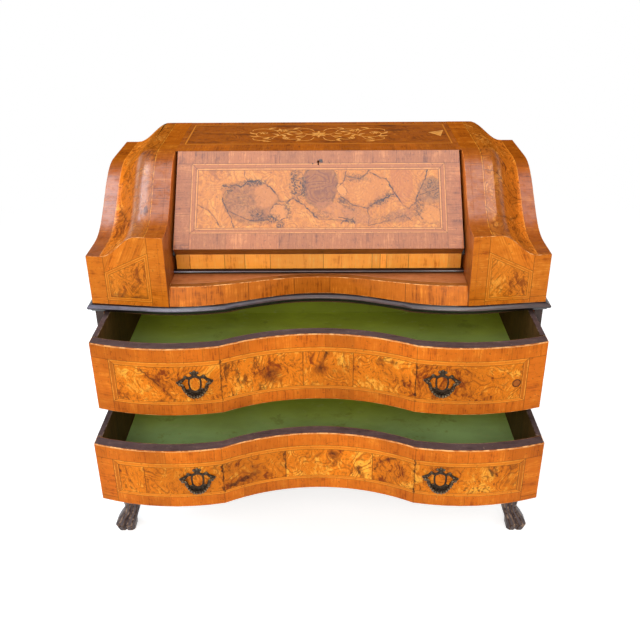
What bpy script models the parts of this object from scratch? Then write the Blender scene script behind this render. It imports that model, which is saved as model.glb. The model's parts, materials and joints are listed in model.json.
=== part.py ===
"""Slant-front bureau over two serpentine drawers, built piece by piece.

Metres, +Z up. X runs to the viewer's right and Y from the front to the back.
Pieces are laid out in case coordinates: Y is zero at the stile fronts and Z at the floor.
An empty that carries the whole bureau then centres the footprint on the origin.
The drawers stand pulled out, and the fall is closed.
"""
import math

import bmesh
import bpy
from mathutils import Matrix, Vector

# Overall case
CASE_WIDTH = 1.100
CASE_DEPTH = 0.508
UPPER_HEIGHT = 0.3104
FOOT_HEIGHT = 0.202
SIDE_THICK = 0.021
BACK_THICK = 0.012
BOARD_THICK = 0.018

# Clearances
FIT_GAP = 0.0003
DRAWER_SIDE_PLAY = 0.004
DRAWER_TOP_PLAY = 0.003
FALL_SIDE_PLAY = 0.007
FALL_EDGE_GAP = 0.0006
RUNNING_GAP = 0.00008
CUT_OVER = 0.002

# Long drawers
LOWER_DRAWER_HEIGHT = 0.1629
UPPER_DRAWER_HEIGHT = 0.1795
DRAWER_BACK_ROOM = 0.0257
DRAWER_FRONT_THICK = 0.030
DRAWER_SIDE_THICK = 0.013
DRAWER_BOTTOM_THICK = 0.008
DRAWER_BOTTOM_RISE = 0.014
LOWER_PULL = 0.2348
UPPER_PULL = 0.1605

# Plan line of the drawer fronts
CREASE_X = 0.2251
CREASE_Y = -0.0182
HOLLOW_Y = 0.0404
SWELL = 0.021
HOLLOW_FACETS = 10
SWELL_FACETS = 8

# Rails and runners of the lower case
BASE_RAIL_HEIGHT = 0.1179
DIVIDER_HEIGHT = 0.0450
WAIST_RAIL_HEIGHT = 0.0241
RAIL_BACK_Y = 0.080
RUNNER_WIDTH = 0.040

# Waist moulding
MOULDING_HEIGHT = 0.019
MOULDING_OVERHANG = 0.0095
MOULDING_SIDE_OVERHANG = 0.013
MOULDING_SEAT = 0.002

# Wings with their front blocks
BLOCK_OUTER_Y = -0.0123
BLOCK_INNER_Y = -0.036
WING_SHOULDER_RISE = 0.1775
WING_RISE_START_Y = -0.012
WING_RISE_END_Y = 0.245
WING_SIDE_STRIP = 0.0358
WING_OGEE_WIDTH = 0.0902
WING_DROP = 0.0531
WING_SIDE_START_Y = 0.0548
WING_SIDE_END_Y = 0.3591
WING_WALL = 0.020
WING_CROWN_THICK = 0.030
POCKET_DRAFT = 0.001
WING_CROSS_FACETS = 12
WING_LENGTH_FACETS = 24
CHEEK_THICK = 0.0145
OPENING_WIDTH = 0.717

# Fall and what it closes on
FALL_FOOT_Y = 0.0398
FALL_FOOT_RISE = 0.1184
FALL_HEAD_Y = 0.2167
FALL_THICK = 0.034
TOP_BOARD_THICK = 0.024
STOP_HEIGHT = 0.012
STOP_DEPTH = 0.020
PIVOT_PIN_RADIUS = 0.0035
PIVOT_PIN_REACH = 0.008
PIVOT_END_PLAY = 0.001
PIN_SIDES = 16
PIVOT_PLATE_THICK = 0.005
PIVOT_PLATE_LENGTH = 0.048
PIVOT_PLATE_LOW = 0.003
PIVOT_PLATE_HIGH = 0.016
PIVOT_SHOULDER = 0.018
PIVOT_EYE_RADIUS = 0.006

# Ledge, rail and apron under the fall
LEDGE_RISE = 0.0454
LEDGE_THICK = 0.012
FALL_RAIL_THICK = 0.018
BEAD_RADIUS = 0.0055
BEAD_REACH = 0.011
APRON_THICK = 0.020
APRON_TOP_SIDE_Y = -0.0166
APRON_TOP_MIDDLE_Y = 0.0385
APRON_FOOT_MIDDLE_Y = 0.0413
APRON_BEND_X = 0.330
APRON_REVEAL = 0.002
APRON_FACETS = 32

# Lock in the fall
LOCK_WIDTH = 0.070
LOCK_LENGTH = 0.055
LOCK_DEPTH = 0.0155
BOLT_WIDTH = 0.016
BOLT_THICK = 0.005
BOLT_LENGTH = 0.011
BOLT_LEVEL = 0.0105
BOLT_THROW = 0.009
BOLT_PLAY = 0.0005
NOTCH_PLAY = 0.0015
NOTCH_ROOM = 0.006
KEYHOLE_DROP = 0.030
KEYHOLE_RADIUS = 0.0032
KEYHOLE_SLOT_WIDTH = 0.0026
KEYHOLE_SLOT_LENGTH = 0.009

# Desk interior
INTERIOR_DEPTH = 0.2107
INTERIOR_THICK = 0.008
INTERIOR_DIVIDER_X = 0.118
SMALL_DRAWER_HEIGHT = 0.0898
SMALL_DRAWER_WALL = 0.007
SMALL_DRAWER_PLAY = 0.001
SMALL_DRAWER_BACK_ROOM = 0.010
SMALL_KNOB_RADIUS = 0.006
SMALL_KNOB_REACH = 0.014
SMALL_KNOB_NECK = 0.0035
SMALL_KNOB_HEAD = 0.009

# Drawer handles
HANDLE_X = 0.2845
HANDLE_DROP = 0.004
PLATE_THICK = 0.003
POST_X = 0.034
POST_RADIUS = 0.0045
POST_REACH = 0.0125
BAIL_AXIS_RISE = 0.006
BAIL_AXIS_REACH = 0.009
BAIL_PIN_RADIUS = 0.0014
BAIL_EYE_RADIUS = 0.0019
BAIL_SHANK_RADIUS = 0.0021
BAIL_GRIP_RADIUS = 0.0042
BAIL_DROP = 0.036
BAIL_POST_ROOM = 0.001

# Feet
FOOT_SIDE_INSET = 0.030
FOOT_END_INSET = 0.042
CLEFT_WIDTH = 0.009
CLEFT_DEPTH = 0.012
FOOT_KNEE_WIDTH = 0.060
FOOT_KICK = 0.040
FOOT_CHAMFER_SHARE = 0.68
FRONT_FOOT_KICK = -0.35
BACK_FOOT_KICK = 0.15

# Derived levels and lines
CASE_HALF = CASE_WIDTH / 2
INNER_HALF = CASE_HALF - SIDE_THICK - FIT_GAP
DRAWER_HALF = CASE_HALF - SIDE_THICK - DRAWER_SIDE_PLAY
BACK_FRONT_Y = CASE_DEPTH - BACK_THICK - FIT_GAP
BASE_Z = FOOT_HEIGHT + FIT_GAP
BASE_TOP_Z = BASE_Z + BASE_RAIL_HEIGHT
LOWER_DRAWER_Z = BASE_TOP_Z + FIT_GAP
DIVIDER_Z = LOWER_DRAWER_Z + LOWER_DRAWER_HEIGHT + DRAWER_TOP_PLAY
UPPER_DRAWER_Z = DIVIDER_Z + DIVIDER_HEIGHT + FIT_GAP
WAIST_RAIL_Z = UPPER_DRAWER_Z + UPPER_DRAWER_HEIGHT + DRAWER_TOP_PLAY
WAIST_TOP_Z = WAIST_RAIL_Z + WAIST_RAIL_HEIGHT
UPPER_Z = WAIST_TOP_Z + FIT_GAP
TOP_HEIGHT = UPPER_Z + UPPER_HEIGHT
WING_SHOULDER_Z = UPPER_Z + WING_SHOULDER_RISE
LEDGE_Z = UPPER_Z + LEDGE_RISE
FALL_FOOT_Z = UPPER_Z + FALL_FOOT_RISE
WING_OGEE_END_X = CASE_HALF - WING_SIDE_STRIP
WING_OGEE_START_X = WING_OGEE_END_X - WING_OGEE_WIDTH
CHEEK_INNER_X = OPENING_WIDTH / 2
CHEEK_OUTER_X = CHEEK_INNER_X + CHEEK_THICK
WING_INNER_X = CHEEK_OUTER_X + FIT_GAP
UPPER_HALF = CHEEK_INNER_X - FIT_GAP
APRON_FOOT_SIDE_Y = BLOCK_INNER_Y + APRON_REVEAL
FALL_HALF = CHEEK_INNER_X - FALL_SIDE_PLAY
FALL_SLOPE = math.atan2(TOP_HEIGHT - FALL_FOOT_Z, FALL_HEAD_Y - FALL_FOOT_Y)
FALL_LENGTH = math.hypot(TOP_HEIGHT - FALL_FOOT_Z, FALL_HEAD_Y - FALL_FOOT_Y)
PIVOT_Y = FALL_FOOT_Y + FALL_THICK * math.sin(FALL_SLOPE)
PIVOT_Z = FALL_FOOT_Z - FALL_THICK * math.cos(FALL_SLOPE)
FALL_RAIL_Y = PIVOT_Y + FALL_EDGE_GAP
FALL_RAIL_BACK_Y = FALL_RAIL_Y + FALL_RAIL_THICK
BED_TOP_Z = PIVOT_Z - FIT_GAP
UNDER_TOP_Z = TOP_HEIGHT - TOP_BOARD_THICK - FIT_GAP
DRAWER_DEPTH = BACK_FRONT_Y - DRAWER_BACK_ROOM
INTERIOR_FRONT_Y = BACK_FRONT_Y - INTERIOR_DEPTH
INTERIOR_FLOOR_Z = BED_TOP_Z + FIT_GAP
INTERIOR_SHELF_Z = INTERIOR_FLOOR_Z + SMALL_DRAWER_HEIGHT + SMALL_DRAWER_PLAY
FOOT_X = CASE_HALF - FOOT_SIDE_INSET
BAIL_HALF = POST_X - POST_RADIUS - BAIL_SHANK_RADIUS - BAIL_POST_ROOM

FINISHES = {
    "walnut": ((0.56, 0.22, 0.035), 0.30, 0.0),
    "burr_walnut": ((0.62, 0.26, 0.05), 0.28, 0.0),
    "carcase": ((0.10, 0.055, 0.035), 0.60, 0.0),
    "ebonised": ((0.022, 0.017, 0.022), 0.30, 0.0),
    "lining": ((0.09, 0.22, 0.045), 0.80, 0.0),
    "bronze": ((0.050, 0.042, 0.030), 0.45, 0.9),
    "iron": ((0.045, 0.040, 0.038), 0.60, 0.9),
}


def clear_scene():
    for old in list(bpy.data.objects):
        bpy.data.objects.remove(old, do_unlink=True)


def finish(name):
    """One material for each finish, made on first use."""
    material = bpy.data.materials.get(name)
    if material is None:
        colour, roughness, metallic = FINISHES[name]
        material = bpy.data.materials.new(name)
        material.use_nodes = True
        shader = material.node_tree.nodes["Principled BSDF"]
        shader.inputs["Base Color"].default_value = (*colour, 1.0)
        shader.inputs["Roughness"].default_value = roughness
        shader.inputs["Metallic"].default_value = metallic
        material.diffuse_color = (*colour, 1.0)
    return material


def carrier(name, parent, location=(0, 0, 0), slope=0.0):
    """An empty that other pieces hang on."""
    empty = bpy.data.objects.new(name, None)
    empty.location = location
    empty.rotation_euler = (slope, 0, 0)
    empty.parent = parent
    bpy.context.collection.objects.link(empty)
    return empty


def piece(name, mesh, finish_name, parent, location=(0, 0, 0), turn=0.0):
    """Put a mesh into the scene as a named piece."""
    if not mesh.materials:
        mesh.materials.append(finish(finish_name))
    thing = bpy.data.objects.new(name, mesh)
    thing.location = location
    thing.rotation_euler = (0, 0, turn)
    thing.parent = parent
    bpy.context.collection.objects.link(thing)
    return thing


def closed_mesh(bm, smooth_angle=None):
    """Face every normal outwards and return the mesh."""
    bmesh.ops.recalc_face_normals(bm, faces=bm.faces)
    mesh = bpy.data.meshes.new("solid")
    bm.to_mesh(mesh)
    bm.free()
    if smooth_angle is not None:
        mesh.shade_smooth()
        mesh.set_sharp_from_angle(angle=math.radians(smooth_angle))
    return mesh


def loft(loops, smooth_angle=None, caps=None):
    """Solid through closed loops of equal point counts; a bent end is capped in flat parts."""
    bm = bmesh.new()
    rings = [[bm.verts.new(point) for point in loop] for loop in loops]
    count = len(rings[0])
    for ring, following in zip(rings, rings[1:]):
        for i in range(count):
            j = (i + 1) % count
            bm.faces.new((ring[i], ring[j], following[j], following[i]))
    for end in (rings[0], rings[-1]):
        for part in caps or [range(count)]:
            bm.faces.new([end[i] for i in part])
    return closed_mesh(bm, smooth_angle)


def block(low, high):
    """Square-edged board between two corners."""
    (x0, y0, z0), (x1, y1, z1) = low, high
    foot = [(x0, y0), (x1, y0), (x1, y1), (x0, y1)]
    return loft([[(x, y, z) for x, y in foot] for z in (z0, z1)])


def profile_board(profile, x0, x1):
    """Board with a (y, z) profile, running along X."""
    return loft([[(x, y, z) for y, z in profile] for x in (x0, x1)])


def cylinder(radius, start, end, sides):
    """Round bar between two points."""
    start, end = Vector(start), Vector(end)
    turn = (end - start).to_track_quat("Z", "Y").to_matrix()
    angles = [2 * math.pi * i / sides for i in range(sides)]
    rim = [turn @ Vector((radius * math.cos(a), radius * math.sin(a), 0)) for a in angles]
    return loft([[centre + point for point in rim] for centre in (start, end)])


def combine(mesh, tools, operation):
    """Boolean a list of tool meshes into a mesh, one after another."""
    for tool in tools:
        target_object = bpy.data.objects.new("target", mesh)
        tool_object = bpy.data.objects.new("tool", tool)
        for thing in (target_object, tool_object):
            bpy.context.collection.objects.link(thing)
        modifier = target_object.modifiers.new("cut", "BOOLEAN")
        modifier.operation = operation
        modifier.solver = "EXACT"
        modifier.object = tool_object
        graph = bpy.context.evaluated_depsgraph_get()
        mesh = bpy.data.meshes.new_from_object(target_object.evaluated_get(graph))
        for thing in (target_object, tool_object):
            bpy.data.objects.remove(thing, do_unlink=True)
    return mesh


def blend(a, b, t):
    return a + (b - a) * t


def ease(t):
    """Smooth step from 0 to 1, flat outside."""
    t = min(max(t, 0.0), 1.0)
    return t * t * (3 - 2 * t)


def roll(t):
    """Longer S from 0 to 1, without a sudden bend at its ends."""
    t = min(max(t, 0.0), 1.0)
    return t ** 3 * (10 - 15 * t + 6 * t * t)


def spread(start, end, count):
    """Evenly spaced values, both ends included."""
    return [blend(start, end, i / (count - 1)) for i in range(count)]


def front_curve(x):
    """Plan curve of the drawer fronts: a round hollow in the middle, a swell on each side."""
    if x <= CREASE_X:
        sagitta = HOLLOW_Y - CREASE_Y
        radius = (CREASE_X ** 2 + sagitta ** 2) / (2 * sagitta)
        return HOLLOW_Y - radius + math.sqrt(radius ** 2 - x ** 2)
    t = (x - CREASE_X) / (DRAWER_HALF - CREASE_X)
    return CREASE_Y * (1 - t) - SWELL * 4 * t * (1 - t)


def front_stations():
    """X stations of the drawer fronts from the middle to the end, with one on the crease."""
    return spread(0.0, CREASE_X, HOLLOW_FACETS + 1) + spread(CREASE_X, DRAWER_HALF, SWELL_FACETS + 1)[1:]


def front_line(x):
    """The front curve as its facets run, so that pieces that meet there share them."""
    x = abs(x)
    stations = front_stations()
    pairs = list(zip(stations, stations[1:]))
    a, b = next((pair for pair in pairs if x <= pair[1]), pairs[-1])
    return blend(front_curve(a), front_curve(b), (x - a) / (b - a))


def block_line(x):
    """Plan line of the blocks' fronts, canted towards the middle."""
    t = (abs(x) - CHEEK_INNER_X) / (CASE_HALF - CHEEK_INNER_X)
    return blend(BLOCK_INNER_Y, BLOCK_OUTER_Y, t)


def apron_line(x, side_y, middle_y):
    """Serpentine plan line between the blocks."""
    bend = 0.5 - 0.5 * math.cos(math.pi * min(abs(x) / APRON_BEND_X, 1.0))
    return blend(middle_y, side_y, bend)


def seat_line(x):
    """Where the upper case meets the top of the waist moulding."""
    if abs(x) < CHEEK_INNER_X:
        return apron_line(x, APRON_FOOT_SIDE_Y, APRON_FOOT_MIDDLE_Y)
    return block_line(x)


def wing_height(x, y):
    """Height of the wing's double-curved top, which drops and sets back towards the side."""
    outward = ease((abs(x) - WING_OGEE_START_X) / (WING_OGEE_END_X - WING_OGEE_START_X))
    start = blend(WING_RISE_START_Y, WING_SIDE_START_Y, outward)
    end = blend(WING_RISE_END_Y, WING_SIDE_END_Y, outward)
    rise = roll((y - start) / (end - start))
    return blend(WING_SHOULDER_Z, TOP_HEIGHT, rise) - WING_DROP * outward


def serpentine_stations(half):
    """X stations for a serpentine piece of a given half width."""
    right = [x for x in front_stations() if x < half - FIT_GAP] + [half]
    return [-x for x in reversed(right[1:])] + right


def serpentine_board(half, front, back, z0, z1):
    """Board between two plan lines, each a function of X."""
    loops = []
    for x in serpentine_stations(half):
        y0, y1 = front(x), back(x)
        loops.append([(x, y0, z0), (x, y1, z0), (x, y1, z1), (x, y0, z1)])
    return loft(loops, 12)


def foot_loop(x, y, z, half, cleft):
    """Chamfered square with a cleft in its front side."""
    edge = half * FOOT_CHAMFER_SHARE
    notch = CLEFT_WIDTH / 2
    right = [(notch, -half), (edge, -half), (half, -edge), (half, edge), (edge, half)]
    left = [(-a, b) for a, b in reversed(right)]
    outline = [(0, cleft - half)] + right + left
    return [(x + a, y + b, z) for a, b in outline]


def add_feet(root):
    """Four hoof feet: a knee under the case, a slim ankle and a toe that kicks out."""
    stations = (
        # shares of the height, the outward kick, the knee's width and the cleft's depth
        (1.00, 0.00, 1.00, 0.17),
        (0.86, 0.10, 1.02, 0.17),
        (0.70, 0.25, 0.97, 0.17),
        (0.52, 0.37, 0.85, 0.25),
        (0.38, 0.41, 0.70, 0.33),
        (0.30, 0.50, 0.71, 0.42),
        (0.20, 0.78, 0.83, 0.50),
        (0.10, 1.00, 0.93, 0.58),
        (0.00, 0.93, 0.80, 0.42),
    )
    rows = {
        "front": (FOOT_END_INSET, FRONT_FOOT_KICK),
        "back": (CASE_DEPTH - FOOT_END_INSET, BACK_FOOT_KICK),
    }
    for row, (foot_y, forward) in rows.items():
        for side, sign in (("left", -1), ("right", 1)):
            loops = []
            for height, kick, width, cleft in stations:
                x = sign * (FOOT_X + kick * FOOT_KICK)
                y = foot_y + kick * FOOT_KICK * forward
                half = width * FOOT_KNEE_WIDTH / 2
                loops.append(foot_loop(x, y, height * FOOT_HEIGHT, half, cleft * CLEFT_DEPTH))
            piece(f"foot_{row}_{side}", loft(loops, 40), "carcase", root)


def add_lower_case(root):
    """Sides, back, bottom, shaped rails and runners that carry the drawers."""
    for side, sign in (("left", -1), ("right", 1)):
        x0, x1 = sorted((sign * (CASE_HALF - SIDE_THICK), sign * CASE_HALF))
        side_board = block((x0, 0, BASE_Z), (x1, CASE_DEPTH, WAIST_TOP_Z))
        piece(f"case_side_{side}", side_board, "walnut", root)
        x0, x1 = sorted((sign * (INNER_HALF - RUNNER_WIDTH), sign * INNER_HALF))
        low = (x0, RAIL_BACK_Y + FIT_GAP, DIVIDER_Z)
        high = (x1, BACK_FRONT_Y, DIVIDER_Z + DIVIDER_HEIGHT)
        piece(f"drawer_runner_{side}", block(low, high), "carcase", root)
    back = block((-INNER_HALF, CASE_DEPTH - BACK_THICK, BASE_Z), (INNER_HALF, CASE_DEPTH, WAIST_TOP_Z))
    piece("lower_back", back, "carcase", root)
    low = (-INNER_HALF, RAIL_BACK_Y + FIT_GAP, BASE_TOP_Z - BOARD_THICK)
    piece("case_bottom", block(low, (INNER_HALF, BACK_FRONT_Y, BASE_TOP_Z)), "carcase", root)
    low = (-INNER_HALF, RAIL_BACK_Y + FIT_GAP, WAIST_TOP_Z - BOARD_THICK)
    piece("waist_board", block(low, (INNER_HALF, BACK_FRONT_Y, WAIST_TOP_Z)), "carcase", root)
    rails = {
        "base_rail": (BASE_Z, BASE_RAIL_HEIGHT, "walnut"),
        "divider_rail": (DIVIDER_Z, DIVIDER_HEIGHT, "walnut"),
        "waist_rail": (WAIST_RAIL_Z, WAIST_RAIL_HEIGHT, "carcase"),
    }
    for name, (z, height, finish_name) in rails.items():
        rail = serpentine_board(INNER_HALF, front_line, lambda x: RAIL_BACK_Y, z, z + height)
        piece(name, rail, finish_name, root)


def moulding_profile():
    """Outward share and height of the moulding's moulded side, from its top to its foot."""
    shape = ((0, 1), (0.38, 0.90), (0.86, 0.70), (1, 0.50), (0.86, 0.34), (0.45, 0.22), (0.22, 0), (0, 0))
    low = WAIST_TOP_Z - MOULDING_HEIGHT
    return [(share, low + height * MOULDING_HEIGHT) for share, height in shape]


def add_waist_moulding(root):
    """Ebonised moulding round the front and both sides, mitred at the corners."""
    profile = moulding_profile()
    top, low = WAIST_TOP_Z, WAIST_TOP_Z - MOULDING_HEIGHT
    loops = []
    for x in serpentine_stations(CASE_HALF):
        on_stile = abs(x) > DRAWER_HALF
        back = -FIT_GAP if on_stile else front_line(x) - FIT_GAP
        seat = min(seat_line(x), back - MOULDING_SEAT)
        at_corner = abs(x) > CASE_HALF - FIT_GAP
        reach = MOULDING_SIDE_OVERHANG if at_corner else 0.0
        face = []
        for share, z in profile:
            face.append((x + math.copysign(reach * share, x), seat - MOULDING_OVERHANG * share, z))
        loops.append([(x, back, top)] + face + [(x, back, low)])
    last = len(profile)
    caps = [range(1, last + 1), (0, 1, last, last + 1)]
    piece("waist_moulding_front", loft(loops, 30, caps), "ebonised", root)
    corner = seat_line(CASE_HALF) + FIT_GAP
    for side, sign in (("left", -1), ("right", 1)):
        wall = CASE_HALF + FIT_GAP
        front, rear = [], []
        for share, z in profile:
            x = sign * (wall + MOULDING_SIDE_OVERHANG * share)
            front.append((x, corner - MOULDING_OVERHANG * share, z))
            rear.append((x, CASE_DEPTH, z))
        piece(f"waist_moulding_{side}", loft([front, rear], 30), "ebonised", root)


def wing_grid():
    """X lines and front-to-back shares of the wing's mesh, with a close pair at each pocket wall."""
    inner, outer = WING_INNER_X + WING_WALL, CASE_HALF - WING_WALL
    xs = spread(inner + POCKET_DRAFT, outer - POCKET_DRAFT, WING_CROSS_FACETS + 1)
    xs = [WING_INNER_X, inner] + xs + [outer, CASE_HALF]
    depth = CASE_DEPTH - BLOCK_INNER_Y
    wall = WING_WALL / depth
    flat = (WING_SIDE_END_Y - BLOCK_INNER_Y) / depth
    near, far = wall + POCKET_DRAFT / depth, 1 - wall - POCKET_DRAFT / depth
    shares = [0.0, wall] + spread(near, flat, WING_LENGTH_FACETS + 1)
    shares += [blend(flat, far, 0.5), far, 1 - wall, 1.0]
    return xs, shares


def wing_shell(sign):
    """Carved wing with a front block, hollowed from below."""
    xs, shares = wing_grid()
    last_x, last_y = len(xs) - 1, len(shares) - 1
    bm = bmesh.new()
    upper, lower = {}, {}
    for i, x in enumerate(xs):
        for j, share in enumerate(shares):
            y = blend(block_line(x), CASE_DEPTH, share)
            z = wing_height(x, y)
            in_pocket = 1 < i < last_x - 1 and 1 < j < last_y - 1
            upper[i, j] = bm.verts.new((sign * x, y, z))
            lower[i, j] = bm.verts.new((sign * x, y, z - WING_CROWN_THICK if in_pocket else UPPER_Z))
    for i in range(last_x):
        for j in range(last_y):
            corners = ((i, j), (i + 1, j), (i + 1, j + 1), (i, j + 1))
            for layer in (upper, lower):
                bm.faces.new([layer[c] for c in corners])
    rim = [(i, 0) for i in range(last_x)] + [(last_x, j) for j in range(last_y)]
    rim += [(i, last_y) for i in range(last_x, 0, -1)] + [(0, j) for j in range(last_y, 0, -1)]
    for a, b in zip(rim, rim[1:] + rim[:1]):
        bm.faces.new((upper[a], upper[b], lower[b], lower[a]))
    return closed_mesh(bm, 35)


def cheek_board(sign):
    """Board beside the fall; its top follows the wing and it carries the fall's pivot."""
    loops = []
    for x in (CHEEK_INNER_X, CHEEK_OUTER_X):
        front = block_line(x)
        crest = [front] + spread(WING_RISE_START_Y, WING_RISE_END_Y, 17) + [CASE_DEPTH]
        loop = [(sign * x, CASE_DEPTH, UPPER_Z), (sign * x, front, UPPER_Z)]
        loop += [(sign * x, y, wing_height(CHEEK_INNER_X, y)) for y in crest]
        loops.append(loop)
    bore_radius = (PIVOT_PIN_RADIUS + RUNNING_GAP) / math.cos(math.pi / PIN_SIDES)
    start = (sign * (CHEEK_INNER_X - CUT_OVER), PIVOT_Y, PIVOT_Z)
    end = (sign * (CHEEK_INNER_X + PIVOT_PIN_REACH + PIVOT_END_PLAY), PIVOT_Y, PIVOT_Z)
    return combine(loft(loops), [cylinder(bore_radius, start, end, PIN_SIDES)], "DIFFERENCE")


def fall_point(along, out):
    """Case (y, z) of a point given along the fall from its pivot and out from its inner face."""
    cosine, sine = math.cos(FALL_SLOPE), math.sin(FALL_SLOPE)
    return PIVOT_Y + along * cosine - out * sine, PIVOT_Z + along * sine + out * cosine


def top_board():
    """Top between the cheeks; its front edge is bevelled to the fall and notched for the bolt."""
    slant = TOP_BOARD_THICK * math.tan(FALL_SLOPE)
    front = FALL_HEAD_Y + FALL_EDGE_GAP / math.cos(FALL_SLOPE)
    under = TOP_HEIGHT - TOP_BOARD_THICK
    profile = [(front, TOP_HEIGHT), (CASE_DEPTH, TOP_HEIGHT), (CASE_DEPTH, under), (front + slant, under)]
    board = profile_board(profile, -UPPER_HALF, UPPER_HALF)
    bolt_top = fall_point(FALL_LENGTH - BOLT_PLAY + BOLT_THROW, BOLT_LEVEL + BOLT_THICK / 2)[1]
    half = BOLT_WIDTH / 2 + NOTCH_PLAY
    notch_back = front + slant + NOTCH_ROOM
    notch = block((-half, front - CUT_OVER, under - CUT_OVER), (half, notch_back, bolt_top + NOTCH_PLAY))
    return combine(board, [notch], "DIFFERENCE")


def fall_stop():
    """Batten under the top board that the closed fall rests on."""
    on_face_y, on_face_z = fall_point(FALL_LENGTH, -FALL_EDGE_GAP)
    foot = UNDER_TOP_Z - STOP_HEIGHT
    head_y, foot_y = [on_face_y - (on_face_z - z) / math.tan(FALL_SLOPE) for z in (UNDER_TOP_Z, foot)]
    profile = [(head_y, UNDER_TOP_Z), (foot_y, foot), (foot_y + STOP_DEPTH, foot)]
    profile.append((head_y + STOP_DEPTH, UNDER_TOP_Z))
    return profile_board(profile, -UPPER_HALF, UPPER_HALF)


def add_upper_case(root):
    """Wings, cheeks, top and back, with the stop that the fall closes on."""
    for side, sign in (("left", -1), ("right", 1)):
        piece(f"wing_{side}", wing_shell(sign), "walnut", root)
        piece(f"cheek_{side}", cheek_board(sign), "walnut", root)
    piece("top_board", top_board(), "walnut", root)
    back = block((-UPPER_HALF, CASE_DEPTH - BACK_THICK, UPPER_Z), (UPPER_HALF, CASE_DEPTH, UNDER_TOP_Z))
    piece("upper_back", back, "carcase", root)
    piece("fall_stop", fall_stop(), "carcase", root)


def add_fall_seat(root):
    """Apron, ledge, rail and bead under the fall, and the writing bed behind them."""
    apron_loops, ledge_loops = [], []
    for x in spread(-UPPER_HALF, UPPER_HALF, APRON_FACETS + 1):
        foot_y = apron_line(x, APRON_FOOT_SIDE_Y, APRON_FOOT_MIDDLE_Y)
        head_y = apron_line(x, APRON_TOP_SIDE_Y, APRON_TOP_MIDDLE_Y)
        rear_y = head_y + APRON_THICK
        outline = [(foot_y, UPPER_Z), (rear_y, UPPER_Z), (rear_y, LEDGE_Z), (head_y, LEDGE_Z)]
        apron_loops.append([(x, y, z) for y, z in outline])
        low, front, back = LEDGE_Z - LEDGE_THICK, rear_y + FIT_GAP, FALL_RAIL_BACK_Y
        outline = [(front, low), (back, low), (back, LEDGE_Z), (front, LEDGE_Z)]
        ledge_loops.append([(x, y, z) for y, z in outline])
    piece("apron", loft(apron_loops, 30), "walnut", root)
    piece("ledge", loft(ledge_loops, 30), "walnut", root)
    low = (-FALL_HALF, FALL_RAIL_Y, LEDGE_Z + FIT_GAP)
    piece("fall_rail", block(low, (FALL_HALF, FALL_RAIL_BACK_Y, BED_TOP_Z)), "walnut", root)
    bead_y, bead_z = FALL_RAIL_Y - FIT_GAP, LEDGE_Z + FIT_GAP + BEAD_RADIUS
    arc = spread(math.pi / 2, 3 * math.pi / 2, 9)
    bead = [(bead_y + BEAD_REACH * math.cos(a), bead_z + BEAD_RADIUS * math.sin(a)) for a in arc]
    piece("rail_bead", profile_board(bead, -UPPER_HALF, UPPER_HALF), "ebonised", root)
    low = (-UPPER_HALF, FALL_RAIL_BACK_Y + FIT_GAP, BED_TOP_Z - BOARD_THICK)
    piece("writing_bed", block(low, (UPPER_HALF, BACK_FRONT_Y, BED_TOP_Z)), "walnut", root)


def lock_slot(clearance, along0, along1):
    """Square bar in the fall's own frame, as wide and thick as the bolt plus a clearance."""
    half = BOLT_WIDTH / 2 + clearance
    thick = BOLT_THICK / 2 + clearance
    return block((-half, along0, BOLT_LEVEL - thick), (half, along1, BOLT_LEVEL + thick))


def pivot_plate(sign):
    """Iron plate let onto the fall's end, with the pin that turns in the cheek."""
    x0 = sign * (FALL_HALF + FIT_GAP)
    x1 = sign * (FALL_HALF + FIT_GAP + PIVOT_PLATE_THICK)
    arc = spread(math.pi / 2, 3 * math.pi / 2, 13)
    outline = [(PIVOT_EYE_RADIUS * math.cos(a), PIVOT_EYE_RADIUS * math.sin(a)) for a in arc]
    outline += [(PIVOT_PLATE_LENGTH, PIVOT_PLATE_LOW), (PIVOT_PLATE_LENGTH, PIVOT_PLATE_HIGH)]
    outline.append((PIVOT_SHOULDER, PIVOT_PLATE_HIGH))
    plate = profile_board(outline, x0, x1)
    pin_end = sign * (CHEEK_INNER_X + PIVOT_PIN_REACH)
    pin = cylinder(PIVOT_PIN_RADIUS, ((x0 + x1) / 2, 0, 0), (pin_end, 0, 0), PIN_SIDES)
    return combine(plate, [pin], "UNION")


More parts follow.
